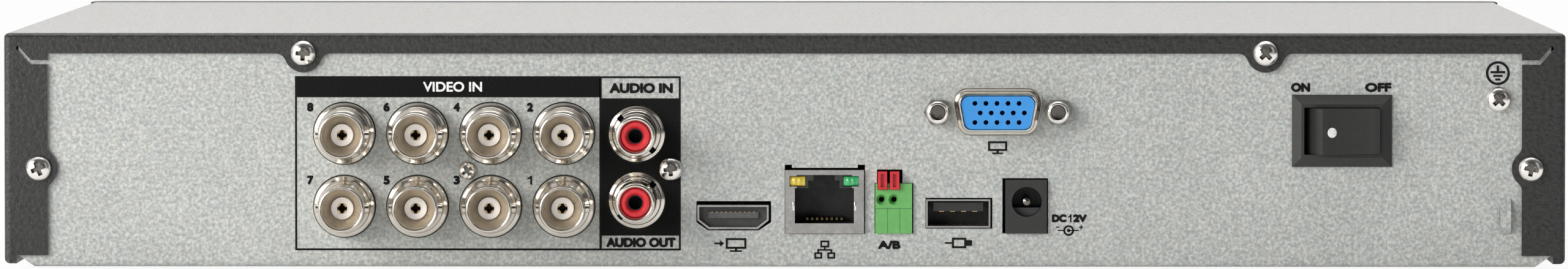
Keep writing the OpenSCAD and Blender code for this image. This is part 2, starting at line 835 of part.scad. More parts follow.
module terminal_block() color(green_plastic) rear() difference() {
  brick(terminal_box, -terminal_reach, terminal_depth);
  for (i = [0, 1]) {
    rod([terminal_wire_x[i], terminal_wire_z], -terminal_reach - play,
      -terminal_reach + terminal_funnel, terminal_wire_hole[0], terminal_wire_hole[1]);
    rod([terminal_wire_x[i], terminal_wire_z], -terminal_reach, terminal_wire_depth,
      terminal_wire_hole[1]);
    brick([button_x[i][0] - 0.1, button_x[i][1] + 0.1, button_z[0] - 0.1, terminal_box[3] + cut],
      -terminal_reach - cut, button_depth + button_travel + 0.3);
    brick([button_x[i][0] + 0.2, button_x[i][1] - 0.2, 9, 13.2], 9.5, terminal_depth + cut);
  }
}

module terminal_button(i) difference() {
  brick([button_x[i][0], button_x[i][1], button_z[0], button_z[1]], -button_reach, button_depth);
  translate([(button_x[i][0] + button_x[i][1]) / 2, -button_reach, (button_z[0] + button_z[1]) / 2])
    translate([-button_slot[0] / 2, -cut, -button_slot[1] / 2])
      cube([button_slot[0], button_slot[2] + cut, button_slot[1]]);
}

module terminal_button_left() color(red_plastic) rear() terminal_button(0);

module terminal_button_right() color(red_plastic) rear() terminal_button(1);

module terminal_clamps() color(nickel) rear() for (i = [0, 1])
  brick([button_x[i][0] + 0.3, button_x[i][1] - 0.3, 9.1, 13], 9.6, terminal_depth - 0.2);

module data_port_sleeve() color(nickel) rear() {
  brick_shell(data_box, data_sheet, -sleeve_reach, data_depth);
  for (x = [data_box[0], data_box[1] - sleeve_foot[0]])
    brick([x, x + sleeve_foot[0], board_top, data_box[2]], board_box[2] + 1, data_depth);
}

module brick_shell(box, wall, y0, y1) slab(y0, y1) difference() {
  area(box);
  area(grow(box, -wall));
}

module data_port_tongue() color(white_plastic) rear() {
  brick(data_tongue, tongue_setback, data_depth);
  slab(data_depth - 3, data_depth) difference() {
    area(grow(data_box, -data_sheet));
    area(data_tongue);
  }
}

module data_port_contacts() color(brass) rear() for (i = [0 : data_contacts - 1])
  translate([(data_tongue[0] + data_tongue[1]) / 2 + (i - (data_contacts - 1) / 2)
    * data_contact_pitch - data_contact[0] / 2, tongue_setback + 1, data_tongue[2] - data_contact[1]])
    cube([data_contact[0], data_contact[2], data_contact[1]]);

// ---- monitor port
module monitor_port_sleeve() color(nickel) rear() translate([monitor_at[0], 0, monitor_at[1]]) {
  slab(sheet, sheet + 1) difference() {
    square(monitor_plate, center = true);
    dee(monitor_mouth);
    for (side = [-1, 1]) translate([side * monitor_screw_pitch / 2, 0]) circle(d = screw_hole);
  }
  slab(-1, sheet) difference() {
    dee(monitor_outer);
    dee(monitor_mouth);
  }
  slab(-monitor_reach, -1) difference() {
    dee(monitor_rim);
    dee(monitor_mouth);
  }
}

module monitor_port_insert() color(blue_plastic) rear() translate([monitor_at[0], 0, monitor_at[1]])
  difference() {
    slab(-monitor_reach + 0.4, monitor_core_depth) dee(monitor_core);
    for (row = [-1, 0, 1], column = [-2 : 2])
      rod([column * monitor_hole_pitch + (row == 0 ? monitor_row_shift : monitor_outer_row_shift),
        row * monitor_row_pitch],
        -monitor_reach, 0, monitor_hole);
  }

module monitor_port_screws() color(nickel) rear() for (side = [-1, 1])
  translate([monitor_at[0] + side * monitor_screw_pitch / 2, 0, monitor_at[1]]) difference() {
    union() {
      translate([0, -monitor_hex_reach, 0]) rotate([-90, 0, 0])
        cylinder(h = monitor_hex_reach, d = monitor_hex / cos(30), $fn = 6);
      rod([0, 0], 0, screw_length, screw_shank - 0.1);
    }
    rod([0, 0], -monitor_hex_reach - cut, 0, monitor_thread);
  }

module monitor_port_cable() color(black_plastic) rear() translate([monitor_at[0], 0, 0]) {
  half = monitor_plug[0];
  plug_end = monitor_core_depth + monitor_plug[2];
  fall = [monitor_plug_socket[1] + 1, monitor_plug_socket[2] - 1];
  brick(grow([-half + monitor_plug[1], half - monitor_plug[1], monitor_at[1], monitor_at[1]],
    monitor_plug[1]), monitor_core_depth, plug_end);
  brick([-half, half, monitor_at[1] - 1, monitor_at[1] + 1], plug_end, fall[0]);
  brick([-half, half, monitor_plug_socket[3], monitor_at[1] + 1], fall[0], fall[1]);
  brick([-monitor_plug_socket[0], monitor_plug_socket[0], board_top, monitor_plug_socket[3]],
    monitor_plug_socket[1], monitor_plug_socket[2]);
}

// ---- power jack
module power_jack_body() color(black_plastic) rear() difference() {
  brick(power_box, -power_reach, power_depth);
  rod(power_at, -power_reach - cut, -power_reach + power_hole_depth, power_hole);
  rod(power_at, 0, power_depth - 1, power_pin_stem + play);
}

module power_jack_pin() color(nickel) rear() {
  rod(power_at, -power_reach + power_pin_setback, -power_reach + power_hole_depth, power_pin);
  rod(power_at, -power_reach + power_hole_depth, power_depth - 1, power_pin_stem);
}

// ---- power switch
blade_x = 4.8;
blade = [0.8, 4.8];
blade_reach = 8;
blade_root = 2.9;
rocker_hollow = [30, 0.45];
wire_stagger = 3;
wire_bend = 6;

module frustum(size, bevel, height) intersection() {
  translate([0, 0, -size[1] / 2]) linear_extrude(height = size[1]) polygon([[-size[0] / 2, 0],
    [-size[0] / 2 + bevel, -height], [size[0] / 2 - bevel, -height], [size[0] / 2, 0]]);
  along_x(-size[0] / 2, size[0] / 2) polygon([[0, -size[1] / 2], [-height, -size[1] / 2 + bevel],
    [-height, size[1] / 2 - bevel], [0, size[1] / 2]]);
}

module switch_housing() color(black_plastic) rear() translate([switch_at[0], 0, switch_at[1]]) {
  difference() {
    union() {
      translate([0, -0.5, 0]) frustum([switch_width, switch_height], switch_bevel,
        switch_frame_reach - 0.5);
      slab(-0.5, 0) square([switch_width, switch_height], center = true);
      slab(0, switch_depth) square(switch_body, center = true);
    }
    slab(-switch_frame_reach - cut, 0.2) square(switch_opening, center = true);
    slab(0, switch_depth - 3) square(switch_cavity, center = true);
    translate([0, pivot_depth, -switch_body[1] / 2 + 0.6])
      cylinder(h = switch_body[1] - 1.2, d = pivot_diameter + 2 * pivot_play);
    blades(play, switch_depth - blade_root - cut - 2 * play, switch_depth + cut);
  }
}

module blades(by, y0, y1) {
  for (x = [-blade_x, blade_x])
    brick(grow([x - blade[0] / 2, x + blade[0] / 2, -blade[1] / 2, blade[1] / 2], by), y0, y1);
}

module rocker_outline() {
  lean = switch_travel / 2;
  side_at = [for (v = [rocker_top, rocker_shoulder]) (rocker_half - v * sin(lean)) / cos(lean)];
  difference() {
    polygon([[-side_at[0], -rocker_top], [side_at[0], -rocker_top],
      [side_at[1], -rocker_shoulder], [rocker_floor_half, -rocker_floor],
      [-rocker_floor_half, -rocker_floor], [-side_at[1], -rocker_shoulder]]);
    translate([0, -rocker_top - rocker_hollow[0] + rocker_hollow[1]]) circle(r = rocker_hollow[0], $fn = 96);
  }
}

module switch_rocker() color(black_plastic) rear()
  translate([switch_at[0], pivot_depth, switch_at[1]]) rotate([0, 0, switch_travel / 2]) {
    translate([0, 0, -rocker_height / 2]) linear_extrude(height = rocker_height) rocker_outline();
    translate([0, 0, -rocker_height / 2 - pivot_length])
      cylinder(h = rocker_height + 2 * pivot_length, d = pivot_diameter);
  }

module switch_terminals() color(brass) rear() translate([switch_at[0], 0, switch_at[1]])
  blades(0, switch_depth - blade_root, switch_depth + blade_reach);

module switch_wires() color(red_plastic) rear() for (side = [-1, 1]) {
  x = switch_at[0] + side * blade_x;
  y = switch_depth + blade_reach + side * wire_stagger + wire_bend;
  rod([x, switch_at[1]], switch_depth + blade_reach, y, wire);
  post(x, y, wire_height - wire / 2, switch_at[1] + wire / 2, wire);
  translate([wire_end, y, wire_height]) rotate([0, 90, 0]) cylinder(h = x - wire_end, d = wire);
}

// ---- circuit board
module main_board() color(board_green) rear() difference() {
  translate([board_box[0], board_box[2], board_top - board_thickness])
    cube([board_box[1] - board_box[0], board_box[3] - board_box[2], board_thickness]);
  for (spot = post_spots) post(spot[0], spot[1], 0, board_top + cut, screw_hole);
}

module board_screws() color(nickel) rear() for (spot = post_spots) {
  post(spot[0], spot[1], board_top, board_top + 2, 5.5);
  post(spot[0], spot[1], board_top - 4.4, board_top, post_hole - 0.1);
}

fin_count = 9;
fin = [1.6, 38, 9];
heatsink_base = 3;
processor = [24, 24, 2.2];
processor_at = [-31, 59];
heatsink_at = [-38, 52];
memory_y = [44, 60, 76];
memory_chip = [11, 12, 1.2];
video_chip_x = [-92, -72, -52];
video_chip = [14, 10, 1.5];
supply_coil = [10, 10, 4.5];
tall_cans = [[30, 40, 50], 64, 8, 12];
short_cans = [[-80, -68], 80, 6.3, 8];
cell_at = [-80, 56];
cell = [20, 3.2];
cell_holder = [24, 5, 1.2];
buzzer_at = [44, 84];
buzzer = [12, 9];
buzzer_hole = [2, 2];

module processor_heatsink() color(cast_metal) rear()
  translate([heatsink_at[0], heatsink_at[1], board_top + processor[2]]) {
    cube([fin[1], fin[1], heatsink_base]);
    for (i = [0 : fin_count - 1])
      translate([i * (fin[1] - fin[0]) / (fin_count - 1), 0, heatsink_base]) cube(fin);
  }

module board_chips() color(black_plastic) rear() translate([0, 0, board_top]) {
  translate(processor_at) cube(processor);
  for (y = memory_y) translate([12, y, 0]) cube(memory_chip);
  for (x = video_chip_x) translate([x, 26, 0]) cube(video_chip);
  translate([34, 42, 0]) cube(supply_coil);
}

module board_capacitors() color(blue_plastic) rear() for (cans = [tall_cans, short_cans], x = cans[0])
  post(x, cans[1], board_top, board_top + cans[3], cans[2]);

module clock_cell_holder() color(black_plastic) rear() difference() {
  post(cell_at[0], cell_at[1], board_top, board_top + cell_holder[1], cell_holder[0]);
  post(cell_at[0], cell_at[1], board_top + cell_holder[2], board_top + cell_holder[1] + cut, cell[0] + 0.4);
}

module clock_cell() color(cast_metal) rear()
  post(cell_at[0], cell_at[1], board_top + cell_holder[2], board_top + cell_holder[2] + cell[1], cell[0]);

module alarm_buzzer() color(black_plastic) rear() difference() {
  post(buzzer_at[0], buzzer_at[1], board_top, board_top + buzzer[1], buzzer[0]);
  post(buzzer_at[0], buzzer_at[1], board_top + buzzer[1] - buzzer_hole[1],
    board_top + buzzer[1] + cut, buzzer_hole[0]);
}

module disk_sockets() color(black_plastic) rear() translate([0, 0, board_top]) {
  translate([-44, 97, 0]) difference() {
    cube([16, 6, 8]);
    translate([1.5, 1.5, 3]) cube([13, 3, 6]);
  }
  translate([16, 97, 0]) difference() {
    cube([12, 6, 8]);
    translate([1.2, 1.2, 3]) cube([9.6, 3.6, 6]);
  }
}

module disk_data_cable() color(red_plastic) rear() {
  brick([-42.4, -29.6, board_top + 3, 20], 98.6, 101.4);
  brick([-40, -32, 20, 21.6], 98.6, 104);
  brick([-40, -32, 20, 21.6], 104, 172);
  brick([-40, -32, 9.4, 20], 170.4, 172);
  brick([-40, disk_x - 9, 7.8, 9.4], 164, 172);
  brick([disk_x - 9, disk_x - 0.2, 6, 11], 161, 175);
}

module disk_power_cable() color(yellow_lamp) rear() {
  brick([17.4, 26.6, board_top + 3, 18], 98.4, 101.6);
  brick([18, 26, 18, 20], 98.4, 110);
  brick([-20, 26, 18, 20], 110, 112);
  brick([-20, -18, 12, 20], 112, 190);
  brick([-20, disk_x - 9, 10, 12], 182, 190);
  brick([disk_x - 9, disk_x - 0.2, 6, 12], 178, 200);
}

// ---- hard disk, drawn from its own near left corner
module disk() { rear() translate([disk_x, disk_y, disk_z]) children(); }

module disk_cavity() {
  translate(platter_centre) circle(d = platter_diameter + 2 * platter_play);
  translate([10, 8]) square([60, disk_width - 16]);
}

module disk_base() color(cast_metal) disk() difference() {
  union() {
    difference() {
      cube([disk_length, disk_width, disk_height - disk_lid_thickness]);
      translate([0, 0, disk_floor]) linear_extrude(height = disk_height) disk_cavity();
      translate([-cut, 20, 2]) cube([4 + cut, 60, 9.5]);
    }
    translate(platter_centre) cylinder(h = disk_height - disk_lid_thickness - 2, d = spindle);
    translate(arm_pivot) cylinder(h = disk_height - disk_lid_thickness - 2, d = arm_pivot_diameter);
  }
  for (end = disk_screw_from_end, side = [disk_screw_from_side, disk_width - disk_screw_from_side])
    translate([end, side, -cut]) cylinder(h = 5 + cut, d = 3.5);
}

module disk_lid() color(grey_steel) disk() translate([0, 0, disk_height - disk_lid_thickness])
  cube([disk_length, disk_width, disk_lid_thickness]);

module disk_platters() color(nickel) disk() translate([platter_centre[0], platter_centre[1], disk_floor + 2])
  difference() {
    union() {
      cylinder(h = 11, d = hub_diameter);
      for (i = [0, 1]) translate([0, 0, 2 + i * (platter_thickness + platter_gap)])
        cylinder(h = platter_thickness, d = platter_diameter);
    }
    translate([0, 0, -cut]) cylinder(h = 11 + 2 * cut, d = spindle + 2 * hub_play);
  }

module disk_arm() color(cast_metal) disk() translate([arm_pivot[0], arm_pivot[1], disk_floor + 2])
  rotate(arm_park) difference() {
    union() {
      cylinder(h = 11, d = arm_hub);
      for (z = [0.4, 2 + platter_thickness + 1.4, 2.6 + 2 * platter_thickness + platter_gap])
        translate([0, 0, z]) linear_extrude(height = 1.1)
          polygon([[0, -5], [arm_length - 3, -1.8], [arm_length, -1.2], [arm_length, 1.2],
            [arm_length - 3, 1.8], [0, 5]]);
      translate([0, 0, 4]) linear_extrude(height = 3)
        polygon([[0, -7], [-20, -13], [-22, 0], [-20, 13], [0, 7]]);
    }
    translate([0, 0, -cut]) cylinder(h = 11 + 2 * cut, d = arm_pivot_diameter + 2 * hub_play);
  }

module disk_screws() color(nickel) rear() disk_screw_spots() {
  translate([0, 0, disk_z - sheet - 1.5]) cylinder(h = 1.5, d = disk_screw_head);
  translate([0, 0, disk_z - sheet]) cylinder(h = 4.5, d = 3.4);
}

chassis_base();
top_cover();
front_bezel();
front_window();
light_pipes();
front_board();
front_cable();
foot_pads();
cover_screws();
ground_screw();
video_block_screw();
audio_block_screw();
video_block();
video_jacks();
video_insulators();
video_contacts();
audio_block();
audio_jacks();
audio_insulators();
audio_contacts();
digital_video_sleeve();
digital_video_tongue();
network_shield();
network_insert();
network_contacts();
network_lamp_yellow();
network_lamp_green();
terminal_block();
terminal_button_left();
terminal_button_right();
terminal_clamps();
data_port_sleeve();
data_port_tongue();
data_port_contacts();
monitor_port_sleeve();
monitor_port_insert();
monitor_port_screws();
monitor_port_cable();
power_jack_body();
power_jack_pin();
switch_housing();
switch_rocker();
switch_terminals();
switch_wires();
main_board();
board_screws();
processor_heatsink();
board_chips();
board_capacitors();
clock_cell();
clock_cell_holder();
alarm_buzzer();
disk_sockets();
disk_data_cable();
disk_power_cable();
disk_base();
disk_lid();
disk_platters();
disk_arm();
disk_screws();
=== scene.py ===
import json
import math

import bmesh
import bpy
from mathutils import Matrix, Vector
from mathutils.bvhtree import BVHTree


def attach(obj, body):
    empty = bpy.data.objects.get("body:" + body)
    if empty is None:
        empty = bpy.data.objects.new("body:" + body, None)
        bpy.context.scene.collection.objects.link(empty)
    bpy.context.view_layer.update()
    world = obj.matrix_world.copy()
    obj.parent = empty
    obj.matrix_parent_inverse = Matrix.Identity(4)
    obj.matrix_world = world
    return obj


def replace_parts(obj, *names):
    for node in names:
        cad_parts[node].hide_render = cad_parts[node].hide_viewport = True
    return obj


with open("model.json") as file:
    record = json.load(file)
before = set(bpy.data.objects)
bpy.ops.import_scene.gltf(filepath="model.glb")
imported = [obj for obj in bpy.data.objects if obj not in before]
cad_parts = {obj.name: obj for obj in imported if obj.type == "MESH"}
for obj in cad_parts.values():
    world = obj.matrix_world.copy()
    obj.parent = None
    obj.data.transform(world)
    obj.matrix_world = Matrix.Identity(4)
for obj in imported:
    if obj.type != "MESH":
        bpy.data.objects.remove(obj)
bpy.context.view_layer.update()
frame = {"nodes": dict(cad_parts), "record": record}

MM = 0.001
PANEL_Y = -113.0        # outer face of the connector panel
FOOT = 2.0              # height of the feet
BODY = "recorder"
FOLD = math.radians(32)  # edges sharper than this are shaded as edges

# places on the panel: across and up, in millimetres
VIDEO_COLUMNS = [-91.6 + 15.24 * i for i in range(4)]
VIDEO_ROWS = ((12.6, "7531"), (27.8, "8642"))
AUDIO_X = -30.7
AUDIO_ROWS = (("out", 13.9, 45), ("in", 27.7, 135))
AUDIO_SCREW = (-23.7, 20.36)
VIDEO_SCREW = (-66.0, 20.05)
EARTH_SCREW = (148.6, 34.9)
EARTH_SYMBOL = (148.4, 40.4)
MONITOR = (44.4, 32.3)
MONITOR_SCREW = 12.495  # from the middle of the monitor port
POWER = (50.47, 13.6)
SWITCH_DOT = (113.7, 28.2)
COVER_SCREW_TOP = (100.1, 44.5)
COVER_SCREW_SIDE = (155.3, 20.5)
COVER_SCREW_HEAD = 5.4
SHEET = 0.9

scene = bpy.context.scene
scene.view_settings.view_transform = "Standard"


def at(x, y, z):
    """A point given as on the drawing: across, in from the panel, up from the case's bottom."""
    return Vector((x * MM, (y + PANEL_Y) * MM, (z + FOOT) * MM))


# ---------------------------------------------------------------- camera
cam = bpy.data.objects.new("camera", bpy.data.cameras.new("camera"))
scene.collection.objects.link(cam)
scene.camera = cam
cam.data.sensor_width = 36
cam.data.lens = 227.3
cam.data.clip_end = 20
cam.location = at(19.7, -2059, 112.4)
aim = at(-0.06, 0, 27.58)
cam.rotation_euler = (aim - cam.location).to_track_quat("-Z", "Y").to_euler()


# ---------------------------------------------------------------- materials
class Shader:
    """A Principled material with a few short ways of adding nodes."""

    def __init__(self, name, colour, rough=0.5, metal=0.0, **sockets):
        self.mat = bpy.data.materials.new(name)
        self.mat.use_nodes = True
        self.nodes = self.mat.node_tree.nodes
        self.links = self.mat.node_tree.links
        self.bsdf = self.nodes["Principled BSDF"]
        self.mat.diffuse_color = (*colour, 1)
        self.colour = colour
        self.set(**{"Base Color": (*colour, 1), "Roughness": rough, "Metallic": metal}, **sockets)

    def set(self, **sockets):
        for key, value in sockets.items():
            self.bsdf.inputs[key.replace("_", " ")].default_value = value

    def link(self, out, into):
        self.links.new(out, into)

    def place(self):
        if "Texture Coordinate" not in self.nodes:
            self.nodes.new("ShaderNodeTexCoord")
        return self.nodes["Texture Coordinate"].outputs["Object"]

    def noise(self, scale, detail=2, rough=0.5):
        n = self.nodes.new("ShaderNodeTexNoise")
        n.inputs["Scale"].default_value = scale
        n.inputs["Detail"].default_value = detail
        n.inputs["Roughness"].default_value = rough
        self.link(self.place(), n.inputs["Vector"])
        return n.outputs["Fac"]

    def ramp(self, value, stops):
        n = self.nodes.new("ShaderNodeValToRGB")
        while len(n.color_ramp.elements) < len(stops):
            n.color_ramp.elements.new(0.5)
        for e, (pos, colour) in zip(n.color_ramp.elements, stops):
            e.position = pos
            e.color = (*colour, 1) if hasattr(colour, "__len__") else (colour, colour, colour, 1)
        self.link(value, n.inputs["Fac"])
        return n.outputs["Color"]

    def mix(self, a, b, factor=0.5, kind="MIX"):
        n = self.nodes.new("ShaderNodeMix")
        n.data_type = "RGBA"
        n.blend_type = kind
        if hasattr(factor, "links"):
            self.link(factor, n.inputs["Factor"])
        else:
            n.inputs["Factor"].default_value = factor
        for value, key in ((a, "A"), (b, "B")):
            socket = [i for i in n.inputs if i.name == key and i.type == "RGBA"][0]
            if hasattr(value, "links"):
                self.link(value, socket)
            else:
                socket.default_value = (*value, 1)
        return [o for o in n.outputs if o.type == "RGBA"][0]

    def bump(self, height, strength=0.2, distance=0.0001):
        n = self.nodes.new("ShaderNodeBump")
        n.inputs["Strength"].default_value = strength
        n.inputs["Distance"].default_value = distance
        self.link(height, n.inputs["Height"])
        before = self.bsdf.inputs["Normal"].links
        if before:
            self.link(before[0].from_socket, n.inputs["Normal"])
        self.link(n.outputs["Normal"], self.bsdf.inputs["Normal"])

    def tint(self, colour):
        self.link(colour, self.bsdf.inputs["Base Color"])

    def roughen(self, value, low, high):
        self.link(self.ramp(value, [(0.3, low), (0.7, high)]), self.bsdf.inputs["Roughness"])


def shade(c, k):
    return tuple(min(1.0, v * k) for v in c)


def powder_coat():
    s = Shader("powder_coat", (0.021, 0.021, 0.020), 0.33)
    s.set(Sheen_Weight=0.5, Sheen_Roughness=0.3, Sheen_Tint=(1, 0.985, 0.96, 1))
    leather = s.noise(1150, 3, 0.55)
    s.tint(s.ramp(leather, [(0.32, (0.013, 0.013, 0.0125)), (0.68, (0.034, 0.033, 0.032))]))
    s.roughen(s.noise(800, 2), 0.26, 0.42)
    s.bump(leather, 0.8, 0.00014)
    return s.mat


def zinc():
    s = Shader("zinc_sheet", (0.50, 0.51, 0.50), 0.55, 0.25)
    grain = s.noise(1450, 3, 0.6)
    cloud = s.noise(45, 3, 0.6)
    base = s.ramp(grain, [(0.33, (0.26, 0.275, 0.265)), (0.5, (0.44, 0.455, 0.44)),
                          (0.67, (0.68, 0.685, 0.655))])
    tone = s.ramp(s.noise(520, 2), [(0.38, (0.46, 0.50, 0.49)), (0.62, (0.54, 0.53, 0.49))])
    base = s.mix(base, tone, 0.3)
    s.tint(s.mix(base, s.ramp(cloud, [(0.35, 0.90), (0.65, 1.0)]), 0.6, "MULTIPLY"))
    s.roughen(grain, 0.42, 0.62)
    s.bump(grain, 0.22, 0.00004)
    return s.mat


def nickel(name, colour, rough=0.16):
    s = Shader(name, colour, rough, 1.0)
    scratch = s.noise(700, 3, 0.6)
    cloud = s.noise(180, 2)
    s.tint(s.ramp(cloud, [(0.3, shade(colour, 0.86)), (0.7, shade(colour, 1.08))]))
    s.roughen(scratch, rough * 0.7, rough * 1.7)
    s.bump(s.noise(2600, 2), 0.12, 0.00003)
    return s.mat


def plastic(name, colour, rough=0.4, grain=900, strength=0.15, vary=0.15, **sockets):
    s = Shader(name, colour, rough, 0, **sockets)
    n = s.noise(grain, 3, 0.55)
    s.tint(s.ramp(n, [(0.3, shade(colour, 1 - vary)), (0.7, shade(colour, 1 + vary))]))
    s.roughen(s.noise(grain * 0.4, 2), rough * 0.85, min(1, rough * 1.15))
    s.bump(n, strength, 0.00004)
    return s.mat


def ink(name, colour):
    s = Shader(name, colour, 0.6, Specular_IOR_Level=0.05)
    n = s.noise(2300, 2)
    s.tint(s.ramp(n, [(0.3, shade(colour, 0.8)), (0.7, shade(colour, 1.3))]))
    s.bump(n, 0.1, 0.00003)
    return s.mat


def lamp(name, colour):
    s = Shader(name, colour, 0.22, 0, Transmission_Weight=0.15, Coat_Weight=0.5)
    n = s.noise(300, 2)
    s.tint(s.ramp(n, [(0.3, shade(colour, 0.75)), (0.7, shade(colour, 1.25))]))
    s.bump(n, 0.1, 0.00005)
    return s.mat


M = {
    "case_black": powder_coat(),
    "case_grey": zinc(),
    "bezel_black": plastic("bezel_plastic", (0.018, 0.018, 0.019), 0.45, 1400, 0.3),
    "smoked_window": plastic("smoked_window", (0.012, 0.004, 0.006), 0.08, 200, 0.02),
    "clear_plastic": plastic("clear_plastic", (0.78, 0.80, 0.80), 0.2, 300, 0.05, 0.05,
                             Transmission_Weight=0.4),
    "circuit_board": plastic("solder_mask", (0.012, 0.10, 0.045), 0.32, 400, 0.1, 0.25),
    "rubber_pads": plastic("rubber", (0.018, 0.018, 0.018), 0.75, 1200, 0.3),
    "bright_screws": nickel("screw_nickel", (0.84, 0.81, 0.77), 0.16),
    "nickel_jacks": nickel("jack_nickel", (0.68, 0.635, 0.57), 0.14),
    "port_metal": nickel("port_tin", (0.44, 0.43, 0.41), 0.2),
    "contact_brass": nickel("contact_brass", (0.60, 0.42, 0.20), 0.25),
    "black_plastic": plastic("black_plastic", (0.022, 0.022, 0.021), 0.4, 1300, 0.2),
    "white_plastic": plastic("white_plastic", (0.80, 0.765, 0.74), 0.42, 500, 0.06, 0.05),
    "red_plastic": plastic("red_plastic", (0.58, 0.022, 0.03), 0.32, 600, 0.08),
    "green_plastic": plastic("green_plastic", (0.13, 0.40, 0.11), 0.42, 600, 0.08, 0.08),
    "blue_plastic": plastic("blue_plastic", (0.035, 0.27, 0.68), 0.45, 500, 0.08, 0.06),
    "yellow_lamp": lamp("yellow_lens", (0.72, 0.55, 0.06)),
    "green_lamp": lamp("green_lens", (0.05, 0.45, 0.16)),
    "cable_jacket": plastic("cable_jacket", (0.35, 0.02, 0.02), 0.5, 500, 0.1),
    "cable_grey": plastic("cable_grey", (0.42, 0.42, 0.42), 0.5, 500, 0.1),
    "bare_aluminium": nickel("bare_aluminium", (0.62, 0.63, 0.64), 0.35),
}
INK = ink("black_ink", (0.012, 0.012, 0.012))
BLOCK_INK = ink("block_ink", (0.009, 0.009, 0.009))
WHITE_INK = ink("white_ink", (0.85, 0.86, 0.85))
# near-black that stands for painted shade deep in holes and notches
PAINTED_SHADE_BLACK = plastic("painted_shade_black", (0.008, 0.007, 0.007), 0.6, 500, 0.1)
JACK_INNER = nickel("jack_inner", (0.80, 0.735, 0.63), 0.36)
# darkened nickel that stands for painted shade in recesses and holes
PAINTED_SHADE_NICKEL = nickel("painted_shade_nickel", (0.22, 0.205, 0.185), 0.24)
GREY_RECESS = plastic("grey_recess", (0.055, 0.056, 0.055), 0.45, 700, 0.1)
TONGUE_GREY = plastic("tongue_grey", (0.10, 0.10, 0.098), 0.4, 700, 0.1)
# brass darkened with painted shade, for contacts deep in the network port
PAINTED_SHADE_BRASS = nickel("contact_shadowed", (0.16, 0.12, 0.06), 0.4)
SEAM_GREEN = plastic("seam_green", (0.045, 0.17, 0.045), 0.6, 700, 0.1)

slot_of = {s["node"]: s["material_slot"] for s in frame["record"]["subparts"]}
for name, obj in frame["nodes"].items():
    for s in obj.material_slots:
        s.material = M[slot_of[name]]
    if not obj.material_slots:
        obj.data.materials.append(M[slot_of[name]])


# ---------------------------------------------------------------- piece making
def piece(name, mesh, slot, material=None, body=BODY, smooth=True, location=None):
    obj = bpy.data.objects.new(name, mesh)
    scene.collection.objects.link(obj)
    mesh.materials.append(material or M[slot])
    if smooth:
        mesh.shade_smooth()
        mesh.set_sharp_from_angle(angle=FOLD)
    if location is not None:
        obj.location = location
    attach(obj, body)
    return obj


def merged(parts):
    """One mesh from several bmesh objects."""
    out = bmesh.new()
    for p in parts:
        me = bpy.data.meshes.new("part")
        p.to_mesh(me)
        p.free()
        out.from_mesh(me)
        bpy.data.meshes.remove(me)
    return out


def to_mesh(name, bm):
    bmesh.ops.recalc_face_normals(bm, faces=bm.faces)
    me = bpy.data.meshes.new(name)
    bm.to_mesh(me)
    bm.free()
    return me


def lathe(profile, x=0, z=0, steps=64, closed=True):
    """Turns (radius, depth) points about an axis along Y through (x, z). Depth runs into the case."""
    bm = bmesh.new()
    rings = []
    for r, y in profile:
        if r < 1e-6:
            rings.append([bm.verts.new(at(x, y, z))])
            continue
        rings.append([bm.verts.new(at(x + r * math.cos(t), y, z + r * math.sin(t)))
                      for t in (2 * math.pi * i / steps for i in range(steps))])
    pairs = list(zip(rings, rings[1:]))
    if closed:
        pairs.append((rings[-1], rings[0]))
    for a, b in pairs:
        if len(a) == 1 and len(b) == 1:
            continue
        for i in range(steps):
            j = (i + 1) % steps
            if len(a) == 1:
                bm.faces.new((a[0], b[i], b[j]))
            elif len(b) == 1:
                bm.faces.new((a[i], a[j], b[0]))
            else:
                bm.faces.new((a[i], a[j], b[j], b[i]))
    return bm


def block(x0, x1, y0, y1, z0, z1, bevel=0.0):
    """A box, with its edges rounded when a bevel is given."""
    bm = bmesh.new()
    bmesh.ops.create_cube(bm, size=1)
    for v in bm.verts:
        v.co = at(x0 if v.co.x < 0 else x1, y0 if v.co.y < 0 else y1, z0 if v.co.z < 0 else z1)
    if bevel:
        bmesh.ops.bevel(bm, geom=bm.edges[:], offset=bevel * MM, segments=2, affect="EDGES",
                        profile=0.6)
    return bm


def extrude(outline, y0, y1, holes=(), bevel=0.0):
    """A plate with the outline (x, z) between two depths, with holes cut by triangle fill."""
    bm = bmesh.new()
    loops = []
    for pts in (outline, *holes):
        verts = [bm.verts.new(at(x, y0, z)) for x, z in pts]
        loops.append([bm.edges.new((verts[i], verts[(i + 1) % len(verts)])) for i in range(len(verts))])
    edges = [e for loop in loops for e in loop]
    bmesh.ops.triangle_fill(bm, use_beauty=True, use_dissolve=False, edges=edges)
    made = bmesh.ops.extrude_face_region(bm, geom=bm.faces[:])
    for v in made["geom"]:
        if isinstance(v, bmesh.types.BMVert):
            v.co.y += (y1 - y0) * MM
    if bevel:
        sharp = [e for e in bm.edges if len(e.link_faces) == 2 and e.calc_face_angle(0) > 0.5]
        bmesh.ops.bevel(bm, geom=sharp, offset=bevel * MM, segments=2, affect="EDGES")
    return bm


def rect(x0, x1, z0, z1):
    return [(x0, z0), (x1, z0), (x1, z1), (x0, z1)]


def circle(x, z, r, steps=48):
    turns = [2 * math.pi * i / steps for i in range(steps)]
    return [(x + r * math.cos(t), z + r * math.sin(t)) for t in turns]


# ---------------------------------------------------------------- bevels on carried-over solids
def soften(node, width):
    o = frame["nodes"][node]
    m = o.modifiers.new("soft_edges", "BEVEL")
    m.width = width * MM
    m.segments = 2
    m.limit_method = "ANGLE"
    m.angle_limit = math.radians(35)
    m.harden_normals = False


# ---------------------------------------------------------------- printing on the panel
def print_mesh(name, bm, material=INK):
    return piece(name, to_mesh(name, bm), "case_grey", material, smooth=False)


def ink_plate(outline, holes=(), lift=0.04):
    return extrude(outline, -lift, -0.005, holes)


